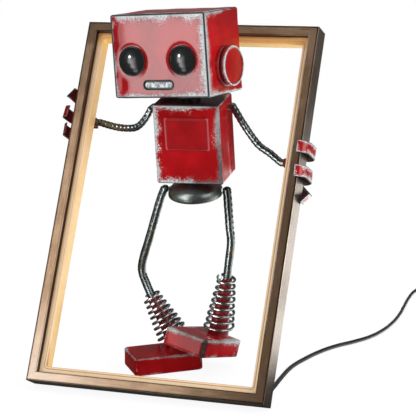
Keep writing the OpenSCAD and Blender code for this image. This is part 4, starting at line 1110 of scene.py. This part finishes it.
# A dome of the sphere through its rim, r^2 = ball^2 - (ball - rise + h)^2, on a thin rolled rim.
def addEye(h, name, side, node):
    eye = h["eye"]
    ball = (eye["r"] ** 2 + eye["rise"] ** 2) / (2 * eye["rise"])
    r = np.sin(np.linspace(1, 0.0, 26) * math.asin((eye["r"] - 0.9) / ball)) * ball
    dome = np.stack([r, np.sqrt(ball**2 - r**2) - ball + eye["rise"]], 1)[:-1]
    base = dome[0, 1]
    rim = [(eye["r"] - 2, -1.2), (eye["r"] - 0.3, -1.2), (eye["r"] + 0.15, -0.4), (eye["r"] + 0.1, 0.2),
           (eye["r"] - 0.1, base + 0.3), (eye["r"] - 0.45, base + 0.42), (eye["r"] - 0.75, base + 0.2)]
    profile = np.vstack([rim, dome])
    spot = {"matrix": headSpot["matrix"] @ np.array([[1, 0, 0], [0, 0, -1], [0, 1, 0]]),
            "centre": placed([h["faceShift"] + side * eye["x"], -h["half"][1], eye["z"]], headSpot)}
    points, faces = ringPiece(latheRings(profile, 72))
    addPiece(name, placed(points, spot), faces, "head", "blackGloss", (node,), sharp=50)


# Two discs turned about the ear's axis, the outer one dished. The edge mark is how far a point is from
# the disc's rim, and painted shade lies on both walls and in the hollow of the outer disc's rim.
def addEar(h, side, word):
    ear = h["ear"]
    turn = [[0, 0, 1], [1, 0, 0], [0, 1, 0]] if side > 0 else [[0, 0, -1], [0, 1, 0], [1, 0, 0]]
    spot = {"matrix": headSpot["matrix"] @ np.array(turn, float),
            "centre": placed([side * h["half"][0], ear["y"], ear["z"]], headSpot)}
    r, c, sides = ear["r"], ear["r"] - 0.5, 96
    base = np.array([(r - 5, 0), (r - 0.3, 0), (r, 0.4), (r, 2.5), (r - 0.3, 3.1), (r - 1.0, 3.5),
                     (r - 2.2, 3.6), (r - 4, 3.6), (r - 5.4, 3.9), (r - 6, 4.6), (r - 6, 5.6), (r - 9, 5.6)])
    cap = np.array([(c - 5, 5.6), (c - 0.6, 5.6), (c - 0.15, 5.8), (c, 6.3), (c, 9.6), (c - 0.15, 10.1),
                    (c - 0.5, 10.45), (c - 1.0, 10.6), (c - 1.7, 10.5), (c - 2.3, 10.15), (c - 2.7, 9.85),
                    (c - 3.6, 9.75), (c - 6, 9.8), (c - 9, 9.9), (c - 12, 10.0), (c - 16, 10.1),
                    (c - 19, 10.12)])
    for name, profile, finish, slot, node, top in [
            ("earBase" + word, base, "darkRed", "dark_red", "ear_base_", 3.6),
            ("earCap" + word, cap, "discRed", "red", "ear_cap_", 10.6)]:
        radius, high = profile.T
        points, faces = ringPiece(latheRings(profile, sides))
        fromRim = np.hypot(c - 0.7 - radius, np.maximum(top - 0.4 - high, 0) * 0.9)
        wall = (radius > r - 1.0) & (high > 0.3) & (high < top - 1.2)
        hollow = 0.75 * np.exp(-((radius - (c - 2.5)) / 0.55) ** 2) * (high > 9)
        paintedShade = np.maximum(np.where(wall, 0.95, 0.0), hollow)
        marks = {"edge": np.append(np.repeat(fromRim, sides), [20, 20]),
                 "paintedShade": np.append(np.repeat(paintedShade, sides), [0, 0])}
        addPiece(name, placed(points, spot), faces, "head", finish, (node + word.lower(),), marks,
                 sharp=50)


addFacePlate(head)
addHeadShell(head)
addEye(head, "eyeLeft", -1, "eye_left")
addEye(head, "eyeRight", 1, "eye_right")
addEar(head, -1, "Left")
addEar(head, 1, "Right")
print("head made")


torso = {
    "half": halves["torso"], "sheet": 1.6,
    "panel": {"z": 11.8, "width": 49.4, "height": 36.8, "rim": 3.4, "thick": 0.8, "high": 2.2},
    "bowl": {"x": -2, "drop": 61, "r": 29.4, "rise": 14, "deep": 7.2, "full": 2.5, "collar": 11},
}


# The box, with swellings that fade towards its edges, an upright crease in each side, and painted
# shade on its top face, under the head, fading out towards the right back corner.
def addTorso(t):
    hx, hy, hz = t["half"]
    points, faces, away = rolledBox((-hx, -hy, -hz), (hx, hy - t["sheet"], hz),
                                    (2.2, 1.8, 2.2), (2.2, 0.2, 2.2), (44, 28, 52))
    x, y, z = points.T
    inner = smoothStep(np.minimum(hx - np.abs(x), hz - np.abs(z)), 0, 8) * (np.abs(y) > hy - 2.5)
    sides = smoothStep(np.minimum(hy - np.abs(y), hz - np.abs(z)), 0, 8) * (np.abs(x) > hx - 2)
    crease = 0.5 * np.exp(-((y - 4 + z * 0.08) / 3.0) ** 2)
    points = points + away * (beaten(points, 0.16, 14.0, 1.3) * (inner + sides) + crease * sides)[:, None]
    paintedShade = smoothStep(z, hz - 0.9, hz - 0.3) * smoothStep(x + 0.45 * y, 40, 34)
    addPiece("torsoShell", placed(points, torsoSpot), faces, "body", "torsoRed", ("torso_shell",),
             {"paintedShade": paintedShade}, sharp=60)


# Lines across a plate, close together within the band next to each border.
def plateLines(half, band=5):
    near = np.linspace(0, band, 22)
    middle = np.linspace(band - half, half - band, 20)[1:-1]
    return np.concatenate([near - half, middle, half - near[::-1]])


# A plate with a raised rim. The grid's corners are drawn in to round ones, rimGap is how far a point
# is from the border, and the height is the plate's plus a round-topped ridge along it.
def addChestPanel(t):
    p = t["panel"]
    w, h, corner = p["width"] / 2, p["height"] / 2, 3.2

    def pastCorner(gx, gz):
        return np.maximum(np.abs(gx) - (w - corner), 0), np.maximum(np.abs(gz) - (h - corner), 0)

    gx, gz = np.meshgrid(plateLines(w), plateLines(h), indexing="ij")
    px, pz = pastCorner(gx, gz)
    far = np.maximum(np.hypot(px, pz), 1e-9)
    scale = np.where((px > 0) & (pz > 0), np.maximum(px, pz) / far, 1)
    gx = np.sign(gx) * (np.minimum(np.abs(gx), w - corner) + px * scale)
    gz = np.sign(gz) * (np.minimum(np.abs(gz), h - corner) + pz * scale)
    px, pz = pastCorner(gx, gz)
    straight = np.minimum(w - np.abs(gx), h - np.abs(gz))
    rimGap = np.minimum(np.where((px > 0) | (pz > 0), corner - np.hypot(px, pz), straight), straight)
    ridge = (p["high"] - p["thick"]) * np.exp(-((rimGap - p["rim"] / 2) / 0.95) ** 2)
    height = p["thick"] * smoothStep(rimGap, -0.05, 0.6) + ridge * smoothStep(rimGap, -0.1, 0.5)
    flat = np.stack([gx, 0 * gx, gz], -1).reshape(-1, 3)
    height += beaten(flat, 0.05, 8.0).reshape(gx.shape) * smoothStep(rimGap, 3, 6)
    top = np.stack([gx, 0.15 - t["half"][1] - height, gz + p["z"]], -1)
    n, m = gx.shape
    faces = gridFaces(n, m, closeSecond=False)
    border = np.concatenate([np.arange(m), np.arange(1, n) * m + m - 1,
                             (n - 1) * m + np.arange(m - 2, -1, -1), np.arange(n - 2, 0, -1) * m])
    faces.append(border[::-1].tolist())
    # The crest mark is a painted highlight along the ridge, strongest on the upright sides, and the
    # painted-shade mark draws lines of painted shade along the border and beside the ridge's inner foot.
    upright = smoothStep(np.abs(gx), w - p["rim"] - 1, w - p["rim"] + 0.5)
    crestHighlight = np.exp(-((rimGap - p["rim"] / 2 + 0.1) / 1.1) ** 2) * (0.14 + 0.86 * upright)
    paintedShade = (0.55 * np.exp(-((rimGap - 0.1) / 0.45) ** 2)
            + 0.45 * np.exp(-((rimGap - p["rim"] - 0.1) / 0.5) ** 2))
    addPiece("chestPanel", placed(top.reshape(-1, 3), torsoSpot), faces, "body", "panelRed",
             ("chest_panel",), {"edge": 6 + 0 * gx, "paintedShade": paintedShade, "crestHighlight": crestHighlight}, sharp=60)


# Half a full oval above the rim and a shallower one below, turned, with the collar on top. Above,
# radius = r cos(a)^(2/full) and height = rise sin(a)^(2/full); below, height = -deep sin(a)^(2/full).
def addPelvis(t):
    b = t["bowl"]
    low = np.radians(np.linspace(-86, 0, 22))
    high = np.radians(np.linspace(4, 64, 14))
    full = 2 / b["full"]
    profile = np.vstack([
        np.stack([b["r"] * np.cos(low) ** full, -b["deep"] * np.sin(-low) ** full], 1),
        np.stack([b["r"] * np.cos(high) ** full, b["rise"] * np.sin(high) ** full], 1),
        [(b["collar"] + 0.9, 12.9), (b["collar"] + 0.2, 13.5), (b["collar"], 14.4), (b["collar"], 17.9)]])
    points, faces = ringPiece(latheRings(profile, 96))
    spot = {"matrix": torsoSpot["matrix"], "centre": placed([b["x"], 0, -b["drop"]], torsoSpot)}
    addPiece("pelvisBowl", placed(points, spot), faces, "body", "darkSteel", ("pelvis",),
             sharp=60)


addTorso(torso)
addChestPanel(torso)
addPelvis(torso)
print("torso made")


def onPlace(points):
    return np.asarray(points, float) + np.array([placeX, placeY, 0])


def torsoPoint(x, y, z):
    return placed([x, y, z], torsoSpot)


limbs = {
    "legR": 4.9, "armR": 4.0, "legPitch": 6.4, "armPitch": 5.4, "hipDrop": 57.5, "hipHalf": 34.6,
    "legSides": 32, "armSides": 28,
    "kneeLeft": [(-31.7, 113, 181.4), (-46.1, 115, 140.5), (-56.2, 117, 113.3), (-58.1, 118, 99),
                 (-53.3, 119, 83.5), (-47, 119.5, 69)],
    "kneeRight": [(43.5, 120.3, 184), (45.1, 120.3, 154.2), (46.2, 120.3, 139.3), (44.3, 120.3, 124),
                  (40.2, 120.3, 97)],
    "armLeft": [(-42, 122, 279.2), (-49, 122.5, 269.1), (-58.6, 124.5, 259.5), (-69.6, 127, 255.7),
                (-89, 132, 255.3)],
    "armRight": [(60.8, 125.5, 266.4), (71.9, 126, 250.5), (79.7, 126, 242.2), (91, 126, 235.1)],
}
ankleLeft = placed([21.5, 15.8, 10], shoeLeftSpot)
ankleRight = placed([22.5, -3.2, 10], shoeRightSpot)
fallLeft = unit(ankleLeft - onPlace(limbs["kneeLeft"][-1]))
fallRight = unit(ankleRight - onPlace(limbs["kneeRight"][-1]))


# A ribbed rod. Round the rod the rib is |cos|^0.7 high, so it fades at two opposite seams, and
# along it the ribs are narrow humps whose place leans with the angle:
# radius = core + depth * hump(run / pitch + 0.38 |cos|) * |cos|^0.7 + seam.
# The ribs are worn down between the runs given in smoothParts, and both ends are rounded off.
def addRod(name, line, radius, pitch, sides, node, seed, depth=0.10, smoothParts=()):
    path, run = evenly(line, 0.55)
    angle = np.linspace(0, 2 * np.pi, sides, endpoint=False)[None, :]
    s = run[:, None]
    across = np.abs(np.cos(angle + 0.5 + 0.12 * np.sin(s / 23.0 + seed)))
    phase = (s / pitch + 0.38 * across + 0.10 * np.sin(s / 11.0 + seed)) % 1.0
    hump = np.exp(-((phase - 0.5) / 0.17) ** 2)
    seam = np.exp(-(across / 0.16) ** 2)
    fade = np.ones_like(s)
    for a, b in smoothParts:
        fade = fade * (1 - 0.85 * smoothStep(s, a - 4, a + 2) * smoothStep(s, b + 4, b - 2))
    rib = hump * across**0.7 * fade
    r = radius * (0.935 + depth * rib + 0.4 * depth * seam) + 0.06 * np.sin(s / 3.1 + 2 * angle + seed)
    ends = np.clip(np.minimum(s, run[-1] - s) / (radius * 0.8), 0, 1)
    r = r * np.sqrt(np.clip(1 - (1 - ends) ** 2, 0.02, 1))
    points, faces = ringPiece(tubeRings(path, r, sides))
    mark = np.append((rib * 0.9 + seam * 0.5).ravel(), [0, 0])
    addPiece(name, points, faces, "body", "ribbedSteel", (node,), {"rib": mark}, sharp=70)


# From the hip rod's end over the knee's points and a little on towards the ankle.
def legLine(side, knee, fall):
    hip = torsoPoint(-2 + side * limbs["hipHalf"], 0, -limbs["hipDrop"])
    knees = onPlace(knee)
    top = [hip + np.array([-side * 0.3, 0, 4.6]), hip]
    return np.vstack([curveThrough(np.vstack([top, knees]), 8), knees[-1] + 3 * fall])


addRod("legLeft", legLine(-1, limbs["kneeLeft"], fallLeft), limbs["legR"], limbs["legPitch"],
       limbs["legSides"], "leg_left", seed=0.4, depth=0.022, smoothParts=[(66, 108)])
addRod("legRight", legLine(1, limbs["kneeRight"], fallRight), limbs["legR"], limbs["legPitch"],
       limbs["legSides"], "leg_right", seed=1.9, depth=0.045, smoothParts=[(56, 100)])

hands = {
    "finger": {"in": 16.9, "reach": 13.1, "bend": 12, "thick": 1.4, "wide": 13, "centre": 16},
    "palmInLeft": 1.5, "palmInRight": 13.5, "palmWide": 15, "wristR": 5, "wristL": 5.5,
    "armSLeft": 294, "armSRight": 258.5,
}
palmD = hands["finger"]["centre"] + hands["finger"]["in"] + hands["finger"]["thick"]
armEndD = palmD - hands["wristR"] + 0.3
wristLeft = halfW - hands["palmInLeft"] - hands["palmWide"] / 2
wristRight = halfW - hands["palmInRight"] - hands["palmWide"] / 2
armY, armZ = 16, 31


# From inside the torso through its side, over the arm's points, and level into the palm.
def armLine(side, middle, lastS, wristX, gap):
    def palmPoint(inward):
        return onSlope([side * (wristX - inward), armEndD, lastS])

    start = [torsoPoint(side * 28, armY, armZ), torsoPoint(side * 33, armY, armZ)]
    bend = [torsoPoint(side * 39.5, armY, armZ), *onPlace(middle), palmPoint(hands["wristL"] + gap)]
    return np.vstack([start, curveThrough(bend, 8), palmPoint(hands["wristL"] + 1), palmPoint(1)])


addRod("armLeft", armLine(-1, limbs["armLeft"], hands["armSLeft"], wristLeft, 5), limbs["armR"],
       limbs["armPitch"], limbs["armSides"], "arm_left", seed=0.9)
addRod("armRight", armLine(1, limbs["armRight"], hands["armSRight"], wristRight, 4), limbs["armR"],
       limbs["armPitch"], limbs["armSides"], "arm_right", seed=2.7)


springs = {
    "wire": 1.65, "turns": 9, "perTurn": 40, "out": 1.5, "start": 180, "stop": 90,
    "coreTop": 6.0, "coreLow": 11.5, "curl": 2.9, "curlWire": 1.25,
}


# The wire's radius at each of its points, rounded off over the soft steps next to both ends.
def wireRadius(radius, count, softSteps):
    i = np.arange(count)
    ends = np.clip(np.minimum(i, count - 1 - i) / softSteps, 0, 1)
    return radius * np.sqrt(np.clip(1 - (1 - ends) ** 2, 0.16, 1))[:, None]


# A cone spring: low + (high - low) f + r (cos q u + sin q v), with r growing from r0 to r1 and drawn
# in over the first half turn, where the wire grips the rod.
def addSpring(name, low, high, r0, r1, node):
    n = springs["turns"] * springs["perTurn"]
    i = np.arange(n + 1)
    f = (i / n)[:, None]
    w = unit(high - low)
    u = unit(np.cross(w, [0, 1, 0]))
    v = np.cross(w, u)
    drawIn = springs["out"] * np.maximum(0, 1 - i / (springs["perTurn"] / 2))
    r = (r0 + (r1 - r0) * f[:, 0] - drawIn + 0.25 * np.sin(i / springs["perTurn"] * 2.3))[:, None]
    sweep = 360 * springs["turns"] - springs["stop"] - springs["start"]
    q = np.radians(springs["start"] + f * sweep)
    line = low + (high - low) * f + r * (np.cos(q) * u + np.sin(q) * v)
    points, faces = ringPiece(tubeRings(line, wireRadius(springs["wire"], n + 1, 3), 12, side=tuple(w)))
    addPiece(name, points, faces, "body", "springSteel", (node,))


topR = limbs["legR"] + springs["wire"] + 0.2 + springs["out"]
legEndLeft, legEndRight = onPlace(limbs["kneeLeft"][-1]), onPlace(limbs["kneeRight"][-1])
addSpring("springLeft", legEndLeft - 6 * fallLeft, ankleLeft - 11.2 * fallLeft, topR, 16.8, "spring_left")
addSpring("springRight", legEndRight - 3.6 * fallRight, ankleRight - 5.4 * fallRight, topR, 15.8,
          "spring_right")


# A turned core that widens towards the shoe: radius = top + (low - top) * share^1.3, plus low waves.
def addCore(name, legEnd, ankle, fall, node, seed):
    line, run = evenly(np.vstack([legEnd - 0.6 * fall, ankle + 1.5 * fall]), 0.9)
    share = (run / run[-1])[:, None]
    angle = np.linspace(0, 2 * np.pi, 40, endpoint=False)[None, :]
    r = springs["coreTop"] + (springs["coreLow"] - springs["coreTop"]) * share**1.3
    waves = np.sin(3 * angle + run[:, None] / 4.0 + seed) * np.cos(run[:, None] / 2.3)
    points, faces = ringPiece(tubeRings(line, r + 0.22 * waves * smoothStep(share, 0, 0.1), 40))
    addPiece(name, points, faces, "body", "darkRed", (node,), sharp=60)


addCore("ankleCoreLeft", legEndLeft, ankleLeft, fallLeft, "ankle_post_left", 0.7)
addCore("ankleCoreRight", legEndRight, ankleRight, fallRight, "ankle_post_right", 2.9)


# The free end of the right spring's wire, curled up beside the rod: an arc of 300 degrees.
def addCurl():
    w = fallRight
    u = unit(np.cross(w, [0, 1, 0]))
    v = np.cross(w, u)
    middle = legEndRight - 1.6 * w - 6.4 * u + 3.6 * v
    q = np.radians(np.linspace(-60, 240, 40))[:, None]
    line = middle + springs["curl"] * (np.cos(q) * u + np.sin(q) * w) + 1.2 * (q / 4.2) * v
    rings = tubeRings(line, wireRadius(springs["curlWire"], len(line), 2.5), 12, side=tuple(v))
    points, faces = ringPiece(rings)
    addPiece("springCurl", points, faces, "body", "springSteel")


addCurl()


shoes = {"half": halves["shoe"], "corner": 6.0, "roll": 1.7}


# A box with round upright corners. A painted dark reflection darkens the upright corner that faces the
# camera, from the bar's strength down to nothing between 22 and 38 degrees to each side of it.
def addShoe(name, spot, finish, node, seed, bar):
    hx, hy, hz = shoes["half"]
    c, roll = shoes["corner"], shoes["roll"]
    points, faces, away = rolledBox((-hx, -hy, -hz), (hx, hy, hz), (c, c, roll), (c, c, roll), (40, 30, 8))
    x, y, z = points.T
    onTop = smoothStep(np.minimum(hx - np.abs(x), hy - np.abs(y)), 4, 12) * (z > 0)
    inner = np.minimum(smoothStep(hz - np.abs(z), 0, 4) + onTop, 1)
    points = points + away * (beaten(points, 0.16, 11.0, seed) * inner)[:, None]
    facing = away @ spot["matrix"].T @ (np.array(view["look"]) * [-1, -1, 0])
    level = np.abs(away[:, 2]) < 0.5
    turn = np.degrees(np.arctan2(away[:, 1], away[:, 0]))
    offCorner = np.abs(turn % 90 - 45)
    nearest = turn[level][np.argmax((facing - 0.02 * offCorner)[level])]
    fromCorner = np.abs((turn - (np.floor(nearest / 90) * 90 + 45) + 180) % 360 - 180)
    paintedShade = bar * smoothStep(fromCorner, 38, 22) * (np.abs(away[:, 2]) < 0.8)
    addPiece(name, placed(points, spot), faces, "body", finish, (node,), {"paintedShade": paintedShade}, sharp=60)


addShoe("shoeLeft", shoeLeftSpot, "shoeLeftRed", "shoe_left", 0.3, 0.0)
addShoe("shoeRight", shoeRightSpot, "shoeRightRed", "shoe_right", 2.2, 0.92)
print("limbs, springs and shoes made")


# The strip's middle line seen along the rail: a straight tail, then a hoop with round corners, cut
# where its direction from the grip's middle has turned by the sweep. Gives the line, how far along
# it each point is, and how far it has turned.
def fingerLine(sweep, tail):
    g = hands["finger"]
    half = g["in"] + g["thick"] / 2
    bend, reach = g["bend"] - g["thick"] / 2, g["reach"] - g["thick"] / 2
    q = np.radians(np.linspace(90, -90, 49))
    high, low = q[:25], q[24:]
    arcTop = np.stack([reach - bend + bend * np.cos(high), half - bend + bend * np.sin(high)], 1)
    arcLow = np.stack([reach - bend + bend * np.cos(low), bend - half + bend * np.sin(low)], 1)
    line = np.vstack([[[-tail, half], [-tail / 2, half]], arcTop, arcLow, [[-30, -half]]])
    path, run = evenly(np.column_stack([line, np.zeros(len(line))]), 0.5)
    turned = (np.degrees(np.arctan2(path[:, 0], path[:, 1])) + 90) % 360 - 90
    keep = (turned <= sweep) | (np.arange(len(path)) < 12)
    return path[keep], run[keep], turned[keep]


# The strip's section with rounded edges, as a closed row of places across it and through it.
def fingerSection():
    wide, thick, roll = hands["finger"]["wide"] / 2, hands["finger"]["thick"] / 2, 0.45
    q = np.radians(np.linspace(0, 90, 4))
    corner = np.stack([wide - roll + roll * np.cos(q), thick - roll + roll * np.sin(q)], 1)
    flat = np.stack([np.linspace(wide - 1, 1 - wide, 13), np.full(13, thick)], 1)
    upper = np.vstack([corner, flat, (corner * [-1, 1])[::-1]])
    return np.vstack([upper, (upper * [1, -1])[::-1]])


# The section carried along the line, a little wavy near its end, tilted and moved to the rail. The edge
# mark is the distance to the nearest edge, shortened where the right hand's strips are worn bare, and
# the inner face gets painted shade.
def addFinger(name, side, out, s, sweep, tilt, tail, node):
    g = hands["finger"]
    path, run, turned = fingerLine(sweep, tail)
    across, through = fingerSection().T
    t = unit(np.gradient(path, axis=0))
    normal = np.stack([-t[:, 1], t[:, 0], 0 * t[:, 0]], 1)
    rings = path[:, None, :] + through[None, :, None] * normal[:, None, :]
    endGap = np.minimum(run[-1] - run, 30)[:, None]
    rings[..., 2] += across + 0.22 * np.sin(run / 4.0 + s)[:, None] * np.exp(-((endGap - 3) / 6) ** 2)
    shape = rings.shape[:2]
    bare = smoothStep(turned[:, None], 166, 138) if side > 0 else 0.0
    edge = np.minimum(g["wide"] / 2 - np.abs(across), endGap) * (1 - 0.58 * bare)
    paintedShade = np.broadcast_to((through < 0) * (0.86 if side > 0 else 0.45), shape)
    tiltMatrix = turnMatrix(0, tilt, 0)
    local = (rings.reshape(-1, 3) @ tiltMatrix.T) * [side, 1, 1]
    local = (local + [side * (halfW - 5 + out), g["centre"], s]).reshape(rings.shape)
    points, faces = ringPiece(onSlope(local.reshape(-1, 3)).reshape(local.shape), flip=side > 0)
    marks = {"edge": np.append(edge.ravel(), [0, 0]), "paintedShade": np.append(paintedShade.ravel(), [0, 0])}
    addPiece(name, points, faces, "body", "stripRed" if side > 0 else "plainStripRed", (node,), marks,
             sharp=40)


# name, side, how far out, height up the slope, sweep and tilt in degrees, tail, node
for name, side, out, s, sweep, tilt, tail, node in [
        ("fingerLeft1", -1, 9, 314, 105, -40, 10, "finger_left_1"),
        ("fingerLeft2", -1, 6.6, 295.5, 168, -7, 8.5, "finger_left_2"),
        ("fingerLeft3", -1, 3.3, 277, 156, 0, 6.5, "finger_left_3"),
        ("fingerRight1", 1, 0, 268.5, 180, 0, 15, "finger_right_1"),
        ("fingerRight2", 1, 0, 242.5, 176, -3, 14, "finger_right_2"),
        ("fingerRight3", 1, 1.6, 227, 98, 42, 6, "finger_right_3")]:
    addFinger(name, side, out, s, sweep, tilt, tail, node)
print("hands made")


# The other solids keep their shape and get a finish.

solidFinishes = {
    "darkRed": ["palm_left", "palm_right", "torso_back"],
    "plainSteel": ["corner_keys", "back_screws", "ear_bolts", "neck_clip", "nod_pin", "switch_screws",
                   "rocker_pin", "hip_rod"],
    "neckPaintedShade": ["nod_bracket", "neck_post"],
    "mouthSteel": ["mouth_plate"],
    "ledTape": ["led_strip"],
    "brass": ["neck_bush"],
    "housing": ["lead_gland", "coil_tie", "switch_base", "switch_lid", "plug_relief", "plug_body",
                "plug_cap"],
    "rockerBlack": ["switch_rocker"],
    "pinSteel": ["plug_pins"],
}
for finishName, names in solidFinishes.items():
    for nodeName in names:
        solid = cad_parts[nodeName].data
        solid.materials.clear()
        solid.materials.append(finishes[finishName])

# each lamp's reach is filled now that its pieces exist
for lampName, look in lamps.items():
    for pieceName in look.get("on", []):
        reached = bpy.data.objects[lampName].light_linking.receiver_collection
        reached.objects.link(bpy.data.objects[pieceName])
